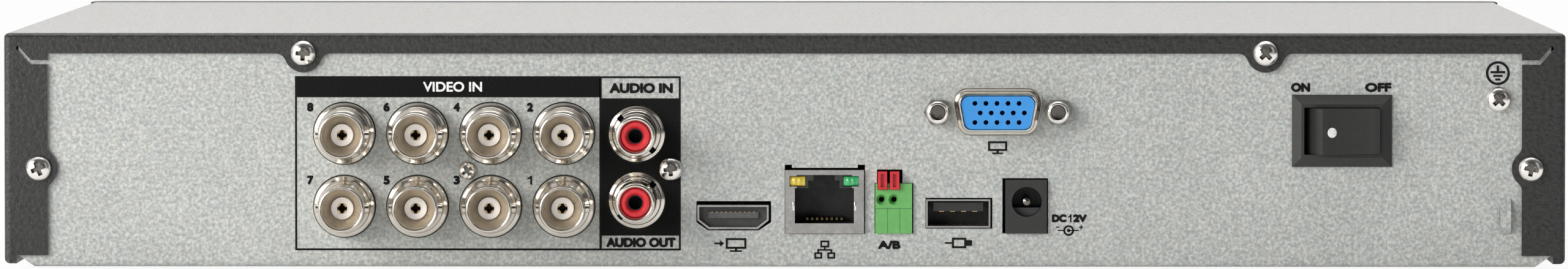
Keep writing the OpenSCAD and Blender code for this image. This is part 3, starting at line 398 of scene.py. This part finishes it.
def ink_text(words, x0, x1, z0, z1, lift=0.04, swell=0.17):
    """Bold lettering that fills a box, as a solid mesh.

    Thin letters are repeated a little to every side. Each copy stands slightly prouder than the last.
    """
    curve = bpy.data.curves.new("words", "FONT")
    curve.body = words
    curve.size = 1
    curve.extrude = 0.02
    obj = bpy.data.objects.new("words", curve)
    scene.collection.objects.link(obj)
    dg = bpy.context.evaluated_depsgraph_get()
    me = bpy.data.meshes.new_from_object(obj.evaluated_get(dg))
    bpy.data.objects.remove(obj)
    xs = [v.co.x for v in me.vertices]
    ys = [v.co.y for v in me.vertices]
    lo_x, lo_y = min(xs), min(ys)
    wide, high = max(xs) - lo_x, max(ys) - lo_y
    copies = []
    for k in range(8):
        t = math.pi * k / 4
        bm = bmesh.new()
        bm.from_mesh(me)
        for v in bm.verts:
            x = x0 + swell * (1 + math.cos(t)) + (v.co.x - lo_x) / wide * (x1 - x0 - 2 * swell)
            z = z0 + swell * (1 + math.sin(t)) + (v.co.y - lo_y) / high * (z1 - z0 - 2 * swell)
            v.co = at(x, -lift - 0.006 * k if v.co.z > 0 else -0.005, z)
        copies.append(bm)
    bpy.data.meshes.remove(me)
    return merged(copies)


def digit_one(x0, x1, z0, z1):
    """The figure 1 with its flag, in a box."""
    shape = [(0.58, 0), (1, 0), (1, 1), (0.68, 1), (0.5, 0.86), (0.28, 0.77), (0, 0.72), (0, 0.56),
             (0.58, 0.66)]
    return ink_plate([(x0 + u * (x1 - x0), z0 + v * (z1 - z0)) for u, v in shape])


def printing():
    line = 0.42
    x0, x1, z0, z1 = -101.9, -21.55, 3.4, 39.7
    print_mesh("frame_line_left", ink_plate(rect(x0, x0 + line, z0, z1)))
    print_mesh("frame_line_bottom", ink_plate(rect(x0 + line, x1, z0, z0 + line)))
    print_mesh("title_bar", ink_plate(rect(x0 + line, -38.3, 35.3, z1)), BLOCK_INK)
    print_mesh("frame_line_top", ink_plate(rect(-38.3, x1, z1 - line, z1)))
    print_mesh("frame_line_right", ink_plate(rect(x1 - line, x1, z0 + line, z1 - line)))
    print_mesh("divider_line", ink_plate(rect(-38.5, -38.0, z0 + line, z1 - line)))
    holes = [circle(AUDIO_X, z, 6.1) for _, z, _ in AUDIO_ROWS] + [circle(*AUDIO_SCREW, 1.6, 24)]
    block_outline = rect(-38.0, x1 - line, 6.5, 35.1)
    print_mesh("audio_ground", ink_plate(block_outline, holes), BLOCK_INK)
    words = [
        ("label_audio_in", "AUDIO IN", -36.4, -23.2, 36.15, 38.3),
        ("label_audio_out", "AUDIO OUT", -37.1, -22.6, 4.05, 6.1),
        ("label_serial", "A/B", 19.5, 24.2, 3.7, 5.5),
        ("label_on", "ON", 105.4, 109.4, 36.45, 38.4),
        ("label_off", "OFF", 120.8, 126.3, 36.45, 38.4),
    ]
    for name, text, a, b, c, d in words:
        print_mesh(name, ink_text(text, a, b, c, d))
    print_mesh("label_video_in", ink_text("VIDEO IN", -75.2, -62.9, 36.45, 38.55, 0.11, 0.085), WHITE_INK)
    supply = [ink_text("DC", 55.7, 58.75, 9.3, 11.0), digit_one(59.05, 59.8, 9.3, 11.0),
              ink_text("2V", 60.1, 63.0, 9.3, 11.0)]
    print_mesh("label_supply", merged(supply))
    left = (-99.4, -83.5, -68.9, -53.6)
    for row, (low, high) in (("8642", (32.3, 34.2)), ("7531", (17.1, 19.0))):
        for x, digit in zip(left, row):
            shape = digit_one(x + 0.1, x + 1.1, low, high) if digit == "1" else \
                ink_text(digit, x, x + 1.35, low, high)
            print_mesh("number_" + digit, shape)
    symbols()


def join_plates(plates):
    return merged([ink_plate(*p) if isinstance(p, tuple) else ink_plate(p) for p in plates])


def frame_box(x0, x1, z0, z1, line):
    """A rectangle drawn with a line of the given width."""
    return rect(x0, x1, z0, z1), [rect(x0 + line, x1 - line, z0 + line, z1 - line)]


def symbols():
    bold = 0.44
    # network: one box joined to two boxes
    net = [frame_box(7.5, 9.35, 4.05, 5.5, 0.38), rect(8.24, 8.62, 3.72, 4.05), rect(6.86, 9.99, 3.36, 3.72),
           rect(6.86, 7.24, 3.05, 3.36), rect(9.61, 9.99, 3.05, 3.36),
           frame_box(6.25, 7.9, 1.7, 3.05, 0.38), frame_box(8.95, 10.6, 1.7, 3.05, 0.38)]
    print_mesh("symbol_network", join_plates(net))
    # signal into a screen with a stand, for the digital picture port
    screen = [frame_box(-12.2, -7.9, 3.75, 6.0, bold), rect(-10.3, -9.8, 3.45, 3.75),
              rect(-11.3, -8.8, 3.1, 3.45), rect(-14.6, -13.3, 4.7, 5.06),
              [(-13.4, 4.2), (-12.5, 4.88), (-13.4, 5.56)]]
    print_mesh("symbol_screen", join_plates(screen))
    # plug for the data port
    plug = [frame_box(34.9, 37.9, 3.9, 6.1, bold), rect(37.9, 39.1, 4.4, 5.6), rect(33.4, 34.9, 4.82, 5.18)]
    print_mesh("symbol_data", join_plates(plug))
    # tube monitor for the analogue picture port
    tube = [frame_box(42.4, 46.4, 24.15, 26.2, bold), rect(43.3, 45.5, 23.5, 23.85),
            rect(44.15, 44.65, 23.85, 24.15)]
    print_mesh("symbol_monitor", join_plates(tube))
    # polarity of the power jack
    pole = [(circle(59.2, 7.6, 1.12), [circle(59.2, 7.6, 0.72)]), circle(59.2, 7.6, 0.36, 24),
            rect(59.45, 61.3, 7.48, 7.72), rect(56.9, 58.15, 7.48, 7.72), rect(61.35, 62.25, 8.2, 8.42),
            rect(61.69, 61.91, 8.42, 8.76), rect(61.69, 61.91, 7.86, 8.2), rect(56.5, 57.3, 8.2, 8.42)]
    print_mesh("symbol_polarity", join_plates(pole))
    # protective earth
    x, z = EARTH_SYMBOL
    earth = [(circle(x, z, 2.5), [circle(x, z, 1.98)]), rect(x - 0.26, x + 0.26, z + 0.44, z + 1.6),
             rect(x - 1.5, x + 1.5, z - 0.04, z + 0.44), rect(x - 1.0, x + 1.0, z - 0.8, z - 0.34),
             rect(x - 0.55, x + 0.55, z - 1.55, z - 1.1)]
    print_mesh("symbol_earth", join_plates(earth))


printing()


# ---------------------------------------------------------------- screws
def screw(name, x, z, y, head, node_slot="bright_screws", turn=0.3):
    """Pan head with a cross recess, its faces darkened as painted shade; y is the seat's depth."""
    r = head / 2
    outline = [(0, -1.92), (r * 0.42, -1.85), (r * 0.72, -1.62), (r * 0.9, -1.2), (r, -0.6), (r, -0.12),
               (r * 0.96, 0), (0, 0)]
    bm = lathe(outline, 0, 0, 48, closed=False)
    for v in bm.verts:
        v.co -= at(0, 0, 0)
    me = to_mesh(name, bm)
    obj = piece(name, me, node_slot, location=at(x, y, z))
    cutter_parts = []
    for t in (turn, turn + math.pi / 2):
        c = bmesh.new()
        bmesh.ops.create_cube(c, size=1)
        for v in c.verts:
            deep = v.co.y > 0
            half = r * 0.66 if not deep else r * 0.40
            thick = r * 0.20 if not deep else r * 0.11
            px, pz = (half if v.co.x > 0 else -half), (thick if v.co.z > 0 else -thick)
            v.co = Vector(((px * math.cos(t) - pz * math.sin(t)) * MM, (-0.35 if deep else -2.6) * MM,
                           (px * math.sin(t) + pz * math.cos(t)) * MM))
        cutter_parts.append(c)
    carve(obj, cutter_parts)
    # faces inside the cross recess get painted shade
    obj.data.materials.append(PAINTED_SHADE_NICKEL)
    for f in obj.data.polygons:
        if math.hypot(f.center.x, f.center.z) < r * 0.68 * MM and f.center.y > -1.5 * MM:
            f.material_index = 1
    return obj


def carve(obj, cutters):
    """Subtracts each cutter and leaves a plain mesh."""
    for c in cutters:
        me = to_mesh("cutter", c)
        cut = bpy.data.objects.new("cutter", me)
        cut.location = obj.location
        scene.collection.objects.link(cut)
        m = obj.modifiers.new("cut", "BOOLEAN")
        m.operation, m.solver, m.object = "DIFFERENCE", "EXACT", cut
        bpy.context.view_layer.update()
        dg = bpy.context.evaluated_depsgraph_get()
        done = bpy.data.meshes.new_from_object(obj.evaluated_get(dg))
        obj.modifiers.clear()
        mats = list(obj.data.materials)
        obj.data = done
        if not done.materials:
            for mat in mats:
                done.materials.append(mat)
        done.shade_smooth()
        done.set_sharp_from_angle(angle=FOLD)
        bpy.data.objects.remove(cut)
    return obj


def cover_screw(name, side, place, turn):
    x, z = place
    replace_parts(screw(name, side * x, z, -SHEET, COVER_SCREW_HEAD, turn=turn), "cover_screws")


for side, tag in ((-1, "left"), (1, "right")):
    cover_screw("cover_screw_top_" + tag, side, COVER_SCREW_TOP, 0.35 + 0.4 * side)
    cover_screw("cover_screw_side_" + tag, side, COVER_SCREW_SIDE, 0.1 - 0.3 * side)
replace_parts(screw("earth_screw", *EARTH_SCREW, 0, COVER_SCREW_HEAD, turn=0.75), "ground_screw")
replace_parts(screw("video_screw", *VIDEO_SCREW, 0, 3.9, turn=0.6), "video_block_screw")
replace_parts(screw("audio_screw", *AUDIO_SCREW, 0, 5.1, turn=0.1), "audio_block_screw")


# ---------------------------------------------------------------- video jacks
PETAL = math.radians(44)  # width of one of the four fingers of a contact


def video_jack(tag, x, z):
    """Bayonet barrel with a bowl, its white core and a contact of four petals. The contact's back, deep in
    the hole, is black as painted shade.
    """
    outer = [(6.35, 0.9), (6.35, -1.7), (6.22, -2.05), (5.95, -2.25), (5.55, -2.4), (5.42, -2.65),
             (5.42, -3.4), (5.3, -3.75), (5.05, -3.95), (4.86, -4.1), (4.8, -4.4), (4.8, -7.0), (4.62, -7.15),
             (4.62, -7.6),
             (4.8, -7.75), (4.8, -13.9), (4.72, -14.25), (4.55, -14.45), (4.4, -14.5), (4.25, -14.42),
             (4.14, -14.15), (4.05, -13.7), (4.02, -12.2), (3.9, -11.3), (3.65, -10.5), (3.3, -9.8),
             (2.9, -9.2), (2.55, -8.8), (2.43, -8.5), (2.43, 0.9)]
    bm = lathe(outer, x, z, 72)
    lugs = []
    for side in (-1, 1):
        lug = bmesh.new()
        bmesh.ops.create_cone(lug, cap_ends=True, segments=24, radius1=0.9 * MM, radius2=0.82 * MM,
                              depth=1.1 * MM, matrix=Matrix.Rotation(math.pi / 2, 4, "Y"))
        for v in lug.verts:
            v.co += at(x + side * 4.97, -9.0, z)
        lugs.append(lug)
    body = piece("video_jack_" + tag, to_mesh("video_jack", merged([bm] + lugs)), "nickel_jacks")
    body.data.materials.append(JACK_INNER)
    for f in body.data.polygons:
        c = f.center - at(x, 0, z)
        if math.hypot(c.x, c.z) < 4.12 * MM and c.y < -0.008:
            f.material_index = 1
    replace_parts(body, "video_jacks")
    core = lathe([(1.04, -9.5), (1.08, -9.75), (1.2, -9.85), (2.05, -10.0), (2.26, -9.94), (2.35, -9.7),
                  (2.35, 0.5), (1.04, 0.5)], x, z, 48)
    white = piece("video_core_" + tag, to_mesh("video_core", core), "white_plastic")
    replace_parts(white, "video_insulators")
    parts = []
    for k in range(4):
        seg = bmesh.new()
        middle = math.radians(90 * k + 45)
        ring = []
        for r in (1.03, 0.76):
            for y in (-9.8, -5):
                turns = [middle + PETAL * i / 6 for i in range(-3, 4)]
                ring.append([seg.verts.new(at(x + r * math.cos(t), y, z + r * math.sin(t))) for t in turns])
        o0, o1, i0, i1 = ring
        for a, b in ((o0, o1), (i1, i0), (i0, o0), (o1, i1)):
            for i in range(6):
                seg.faces.new((a[i], a[i + 1], b[i + 1], b[i]))
        seg.faces.new((o0[0], o1[0], i1[0], i0[0]))
        seg.faces.new((o0[-1], i0[-1], i1[-1], o1[-1]))
        parts.append(seg)
    back = lathe([(0, -5), (1.03, -5), (1.03, 0.5), (0, 0.5)], x, z, 24, closed=False)
    parts.append(back)
    gold = piece("video_contact_" + tag, to_mesh("video_contact", merged(parts)), "contact_brass")
    # the back of the contact, deep in the hole, is black as painted shade
    gold.data.materials.append(PAINTED_SHADE_BLACK)
    for f in gold.data.polygons:
        if f.center.y > at(0, -5.1, 0).y:
            f.material_index = 1
    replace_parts(gold, "video_contacts")


for z, numbers in VIDEO_ROWS:
    for x, number in zip(VIDEO_COLUMNS, numbers):
        video_jack(number, x, z)


# ---------------------------------------------------------------- audio jacks
def audio_jack(tag, z, tilt):
    """Barrel with two notches in its collar, a red core and a contact; the notches' faces and the contact are
    black as painted shade.
    """
    x = AUDIO_X
    outer = [(5.95, 0.9), (5.95, -0.45), (5.82, -0.8), (5.5, -1.0), (5.2, -1.12), (5.1, -1.4), (5.1, -2.3),
             (4.95, -2.75), (4.65, -3.0), (4.35, -3.05), (4.15, -3.4), (4.15, -12.9), (4.06, -13.25),
             (3.85, -13.45), (3.62, -13.5), (3.38, -13.42), (3.2, -13.2), (3.06, -12.8), (3.06, 0.9)]
    obj = piece("audio_jack_" + tag, to_mesh("audio_jack", lathe(outer, x, z, 72)), "nickel_jacks")
    cutters = []
    for side in (0, math.pi):
        c = bmesh.new()
        bmesh.ops.create_cube(c, size=1)
        a = tilt + side
        for v in c.verts:
            r = 5.25 if v.co.x > 0 else 4.2
            w = 0.65 if v.co.z > 0 else -0.65
            v.co = at(x + r * math.cos(a) - w * math.sin(a), 0.6 if v.co.y > 0 else -4,
                      z + r * math.sin(a) + w * math.cos(a))
        cutters.append(c)
    carve(obj, cutters)
    # the faces inside the two notches are black as painted shade
    obj.data.materials.append(PAINTED_SHADE_BLACK)
    for f in obj.data.polygons:
        c = f.center - at(x, 0, z)
        along = abs(c.x * math.cos(tilt) + c.z * math.sin(tilt))
        across = abs(c.z * math.cos(tilt) - c.x * math.sin(tilt))
        if across < 0.66 * MM and 4.18 * MM < along < 5.26 * MM and c.y > -0.0031:
            f.material_index = 1
    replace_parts(obj, "audio_jacks")
    red = lathe([(1.6, -11.9), (1.66, -12.3), (2.05, -12.8), (2.25, -12.95), (2.8, -12.95), (2.98, -12.75),
                 (3.02, -12.3), (3.02, 0.9), (1.6, 0.9)], x, z, 48)
    core = piece("audio_core_" + tag, to_mesh("audio_core", red), "red_plastic")
    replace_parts(core, "audio_insulators")
    # the contact tube inside the red core is black as painted shade
    inner = lathe([(1.58, -11.9), (1.58, 0.9), (0, 0.9), (0, -6), (1.4, -6), (1.4, -11.9)], x, z, 32)
    tube = piece("audio_contact_" + tag, to_mesh("audio_contact", inner), "contact_brass", PAINTED_SHADE_BLACK)
    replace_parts(tube, "audio_contacts")


for tag, z, tilt in AUDIO_ROWS:
    audio_jack(tag, z, math.radians(tilt))


# ---------------------------------------------------------------- monitor port
def dee(width, height, r, steps=8, slope=10):
    """D-shaped outline about the middle of the monitor port, wider at the top."""
    w, h = width / 2 - r, height / 2 - r
    lean = 2 * h * math.tan(math.radians(slope))
    corners = (((w, h), -slope, 90), ((-w, h), 90, 180 + slope),
               ((-w + lean, -h), 180 + slope, 270), ((w - lean, -h), 270, 360 - slope))
    out = []
    for (cx, cz), first, last in corners:
        for i in range(steps + 1):
            t = math.radians(first + (last - first) * i / steps)
            out.append((MONITOR[0] + cx + r * math.cos(t), MONITOR[1] + cz + r * math.sin(t)))
    return out


def loft(rows):
    """A closed skin through outlines of equal length, each with its depth, and back to the first."""
    bm = bmesh.new()
    rings = [[bm.verts.new(at(x, y, z)) for x, z in points] for points, y in rows]
    count = len(rings[0])
    for a, b in zip(rings, rings[1:] + rings[:1]):
        for i in range(count):
            j = (i + 1) % count
            bm.faces.new((a[i], a[j], b[j], b[i]))
    return bm


def monitor_hood():
    """Drawn metal hood: a rolled skirt on the panel, a straight wall and a rounded mouth."""
    steps = [(0, 0.2), (0, -0.35), (0.08, -0.62), (0.3, -0.82), (0.58, -0.95), (0.7, -1.4), (0.74, -5.2),
             (0.82, -5.66), (0.98, -5.92), (1.14, -5.98), (1.28, -5.84), (1.36, -5.5), (1.37, 0.2)]
    skin = loft([(dee(18.2 - 2.1 * k, 9.6 - 2 * k, 2.8 - k), y) for k, y in steps])
    x, z = MONITOR
    plate = extrude(rect(x - 15.5, x + 15.5, z - 6.25, z + 6.25), 0.95, 1.9, [dee(15.6, 7.2, 1.8)])
    hood = piece("monitor_hood", to_mesh("monitor_hood", merged([skin, plate])), "port_metal",
                 M["nickel_jacks"])
    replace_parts(hood, "monitor_port_sleeve")


def jack_screw(tag, x):
    z = MONITOR[1]
    across = 2.5 / math.cos(math.radians(30))
    body = extrude(circle(x, z, across, 6), -3.7, 0, [circle(x, z, 1.42, 32)], bevel=0.12)
    collar = lathe([(2.44, -3.65), (2.4, -3.95), (2.2, -4.28), (1.98, -4.46), (1.82, -4.5), (1.62, -4.36),
                    (1.46, -4.05), (1.42, -3.65)], x, z, 40)
    shank = lathe([(0, -0.6), (1.42, -0.6), (1.42, 6), (0, 6)], x, z, 32, closed=False)
    screw_piece = piece("monitor_screw_" + tag, to_mesh("monitor_screw", merged([body, collar, shank])),
                        "bright_screws")
    # the hex and the threaded hole behind the collar get darkened nickel as painted shade
    screw_piece.data.materials.append(PAINTED_SHADE_NICKEL)
    for f in screw_piece.data.polygons:
        c = f.center - at(x, 0, z)
        f.material_index = 1 if c.y > -0.0038 else 0
    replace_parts(screw_piece, "monitor_port_screws")


monitor_hood()
for tag, side in (("left", -1), ("right", 1)):
    jack_screw(tag, MONITOR[0] + side * MONITOR_SCREW)


# ---------------------------------------------------------------- network port
def lens(name, node, slot, x0, x1, z0, z1, front, rise):
    """Lamp lens with a barrel-shaped face, from a grid of points."""
    cols, rows = 14, 10
    bm = bmesh.new()
    face, back = [], []
    for i in range(cols + 1):
        u = 2 * i / cols - 1
        for k in range(rows + 1):
            v = 2 * k / rows - 1
            crown = rise * math.sqrt(max(0, 1 - v * v)) * (1 - 0.45 * u ** 4)
            ripple = 0.10 * math.cos(3 * math.pi * u) * (1 - v * v)
            x, z = (x0 + x1) / 2 + u * (x1 - x0) / 2, (z0 + z1) / 2 + v * (z1 - z0) / 2
            face.append(bm.verts.new(at(x, front - crown + ripple, z)))
            back.append(bm.verts.new(at(x, front + 3, z)))
    step = rows + 1
    for i in range(cols):
        for k in range(rows):
            a = i * step + k
            bm.faces.new((face[a], face[a + 1], face[a + 1 + step], face[a + step]))
            bm.faces.new((back[a], back[a + step], back[a + 1 + step], back[a + 1]))
    rim = [k for k in range(rows)] + [rows + i * step for i in range(cols)] + \
          [cols * step + rows - k for k in range(rows)] + [(cols - i) * step for i in range(cols)]
    for a, b in zip(rim, rim[1:] + rim[:1]):
        bm.faces.new((face[a], back[a], back[b], face[b]))
    obj = piece(name, to_mesh(name, bm), slot)
    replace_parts(obj, node)


lens("lamp_yellow", "network_lamp_yellow", "yellow_lamp", 1.15, 4.35, 16.85, 18.9, -0.15, 0.55)
lens("lamp_green", "network_lamp_green", "green_lamp", 12.35, 15.45, 16.85, 18.9, -0.15, 0.55)
for tag, x0 in (("left", 1.72), ("right", 14.56)):
    spring = block(x0, x0 + 0.42, -1.02, 1.5, 11.75, 13.6, 0.15)
    piece("network_spring_" + tag, to_mesh("network_spring", spring), "port_metal", M["bright_screws"])
# network contacts get brass darkened as painted shade
for s_ in frame["nodes"]["network_contacts"].material_slots:
    s_.material = PAINTED_SHADE_BRASS


# ---------------------------------------------------------------- digital video port
def digital_port():
    shape = [(-17.6, 12.45), (-17.6, 9.92), (-15.55, 8.35), (-5.75, 8.35), (-3.75, 9.92), (-3.75, 12.45)]
    piece("digital_video_core", to_mesh("digital_video_core", extrude(shape, 1.9, 2.6)), "black_plastic",
          GREY_RECESS)
    columns = [-15 + 0.97 * k for k in range(10)]
    dots = [block(x - 0.17, x + 0.17, 0.45, 1.8, 11.35, 11.5, 0.03) for x in columns]
    piece("digital_video_contacts", to_mesh("digital_video_contacts", merged(dots)), "contact_brass")
    for s_ in frame["nodes"]["digital_video_tongue"].material_slots:
        s_.material = TONGUE_GREY


digital_port()


# ---------------------------------------------------------------- terminal block, power jack, switch
def small_details():
    """Seams of the terminal block, and the pin and spring of the power jack; the pin is darkened as painted
    shade.
    """
    face = -0.715
    seams = [block(18.96, 26.58, face, -0.6, 12.1, 12.24), block(21.42, 21.54, face, -0.6, 7.05, 12.1),
             block(24.0, 24.12, face, -0.6, 7.05, 12.1)]
    piece("terminal_seams", to_mesh("terminal_seams", merged(seams)), "green_plastic", SEAM_GREEN)
    pin = lathe([(0, 0.4), (0.42, 0.43), (0.78, 0.62), (0.96, 0.95), (1.0, 1.4), (1.0, 8.7), (0, 8.7)],
                *POWER, 32, closed=False)
    # the pin, deep in the jack, is darkened nickel as painted shade
    tip = piece("power_pin", to_mesh("power_pin", pin), "nickel_jacks", PAINTED_SHADE_NICKEL)
    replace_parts(tip, "power_jack_pin")
    turns = [math.radians(t) for t in range(206, 335, 8)]
    low = [(POWER[0] + 3.05 * math.cos(t), POWER[1] + 3.05 * math.sin(t)) for t in turns]
    piece("power_spring", to_mesh("power_spring", extrude(low, 2.0, 2.8)), "port_metal", GREY_RECESS)


def switch_dot():
    """White mark on the rocker, laid on the face that is at rest behind it."""
    rocker = frame["nodes"]["switch_rocker"]
    tree = BVHTree.FromObject(rocker, bpy.context.evaluated_depsgraph_get())
    start = at(SWITCH_DOT[0], -30, SWITCH_DOT[1])
    point, normal, _, _ = tree.ray_cast(start, Vector((0, 1, 0)))
    turn = Vector((0, -1, 0)).rotation_difference(normal)
    button = [(0, -0.05), (0.9, -0.05), (1.0, -0.03), (1.05, 0.0), (1.05, 0.05), (0, 0.05)]
    bm = lathe(button, 0, 0, 40, closed=False)
    for v in bm.verts:
        v.co = point + turn @ (v.co - at(0, 0, 0))
    piece("switch_dot", to_mesh("switch_dot", bm), "white_plastic", WHITE_INK, body="power_rocker")


small_details()
switch_dot()
for node, width in (("network_shield", 0.12), ("data_port_sleeve", 0.14), ("digital_video_sleeve", 0.14),
                    ("switch_housing", 0.12), ("switch_rocker", 0.15), ("power_jack_body", 0.1),
                    ("terminal_block", 0.08), ("terminal_button_left", 0.08),
                    ("terminal_button_right", 0.08)):
    soften(node, width)


# ---------------------------------------------------------------- floor, backdrop and light
def backdrop():
    """A pale floor, open on every side. Beyond it is the white of the world."""
    bm = bmesh.new()
    bm.faces.new([bm.verts.new((x, y, 0)) for x, y in ((-4, -4), (4, -4), (4, 4), (-4, 4))])
    me = to_mesh("backdrop", bm)
    obj = bpy.data.objects.new("backdrop", me)
    scene.collection.objects.link(obj)
    mat = bpy.data.materials.new("backdrop")
    mat.use_nodes = True
    nodes, links = mat.node_tree.nodes, mat.node_tree.links
    nodes["Principled BSDF"].inputs["Base Color"].default_value = (0.86, 0.86, 0.86, 1)
    nodes["Principled BSDF"].inputs["Roughness"].default_value = 0.9
    glow = nodes.new("ShaderNodeEmission")
    glow.inputs["Strength"].default_value = 1.0
    rays = nodes.new("ShaderNodeLightPath")
    seen = nodes.new("ShaderNodeMath")
    seen.operation = "MAXIMUM"
    links.new(rays.outputs["Is Camera Ray"], seen.inputs[0])
    links.new(rays.outputs["Is Transmission Ray"], seen.inputs[1])
    mirrored = nodes.new("ShaderNodeMath")
    mirrored.operation = "MULTIPLY"
    links.new(rays.outputs["Is Glossy Ray"], mirrored.inputs[0])
    where = nodes.new("ShaderNodeTexCoord")
    axes = nodes.new("ShaderNodeSeparateXYZ")
    links.new(where.outputs["Object"], axes.inputs[0])
    fade = nodes.new("ShaderNodeMapRange")
    fade.inputs["From Min"].default_value = -0.6
    fade.inputs["From Max"].default_value = 0.5
    fade.inputs["To Min"].default_value = 0.12
    fade.inputs["To Max"].default_value = 1.0
    links.new(axes.outputs["Y"], fade.inputs["Value"])
    links.new(fade.outputs[0], mirrored.inputs[1])
    either = nodes.new("ShaderNodeMath")
    either.operation = "MAXIMUM"
    links.new(seen.outputs[0], either.inputs[0])
    links.new(mirrored.outputs[0], either.inputs[1])
    share = nodes.new("ShaderNodeMath")
    share.operation = "MULTIPLY"
    share.inputs[1].default_value = 0.93
    links.new(either.outputs[0], share.inputs[0])
    mix = nodes.new("ShaderNodeMixShader")
    links.new(share.outputs[0], mix.inputs[0])
    links.new(nodes["Principled BSDF"].outputs[0], mix.inputs[1])
    links.new(glow.outputs[0], mix.inputs[2])
    links.new(mix.outputs[0], nodes["Material Output"].inputs["Surface"])
    obj.data.materials.append(mat)


def area_light(name, where, target, size, power, colour=(1, 1, 1)):
    data = bpy.data.lights.new(name, "AREA")
    data.shape = "RECTANGLE"
    data.size, data.size_y = size
    data.energy = power
    data.color = colour
    obj = bpy.data.objects.new(name, data)
    scene.collection.objects.link(obj)
    obj.location = where
    obj.rotation_euler = (Vector(target) - Vector(where)).to_track_quat("-Z", "Y").to_euler()


def studio_world():
    """White to the camera and through glass. For other rays it is pale behind and above, darker in front."""
    world = bpy.data.worlds.new("studio")
    scene.world = world
    world.use_nodes = True
    nodes, links = world.node_tree.nodes, world.node_tree.links
    where = nodes.new("ShaderNodeTexCoord")
    along = nodes.new("ShaderNodeVectorMath")
    along.operation = "DOT_PRODUCT"
    along.inputs[1].default_value = (-0.35, 0.75, 0.55)
    links.new(where.outputs["Generated"], along.inputs[0])
    span = nodes.new("ShaderNodeMapRange")
    span.inputs["From Min"].default_value = -1
    span.inputs["From Max"].default_value = 1
    links.new(along.outputs["Value"], span.inputs["Value"])
    ramp = nodes.new("ShaderNodeValToRGB")
    ramp.color_ramp.elements.new(0.5)
    for e, (place, level) in zip(ramp.color_ramp.elements, ((0.15, 0.02), (0.48, 0.11), (0.8, 1.0))):
        e.position = place
        e.color = (level, level, level, 1)
    links.new(span.outputs[0], ramp.inputs["Fac"])
    rays = nodes.new("ShaderNodeLightPath")
    seen = nodes.new("ShaderNodeMath")
    seen.operation = "MAXIMUM"
    links.new(rays.outputs["Is Camera Ray"], seen.inputs[0])
    links.new(rays.outputs["Is Transmission Ray"], seen.inputs[1])
    mix = nodes.new("ShaderNodeMixRGB")
    mix.inputs["Color2"].default_value = (1, 1, 1, 1)
    links.new(seen.outputs[0], mix.inputs["Fac"])
    links.new(ramp.outputs["Color"], mix.inputs["Color1"])
    links.new(mix.outputs["Color"], nodes["Background"].inputs["Color"])
    nodes["Background"].inputs["Strength"].default_value = 1.0


backdrop()
studio_world()
area_light("key", (-1.4, -1.15, 0.6), (0, -0.1, 0.02), (0.9, 0.9), 26, (1, 0.99, 0.97))
area_light("front", (-1.1, -2.5, 0.55), (0, -0.1, 0.02), (0.7, 0.7), 14, (1, 0.99, 0.975))
area_light("fill", (1.6, -1.9, 0.9), (0, -0.1, 0.02), (0.8, 1.2), 1.5, (0.97, 0.99, 1))
area_light("top", (0, 0.2, 1.9), (0, 0, 0), (1.6, 1.2), 14)
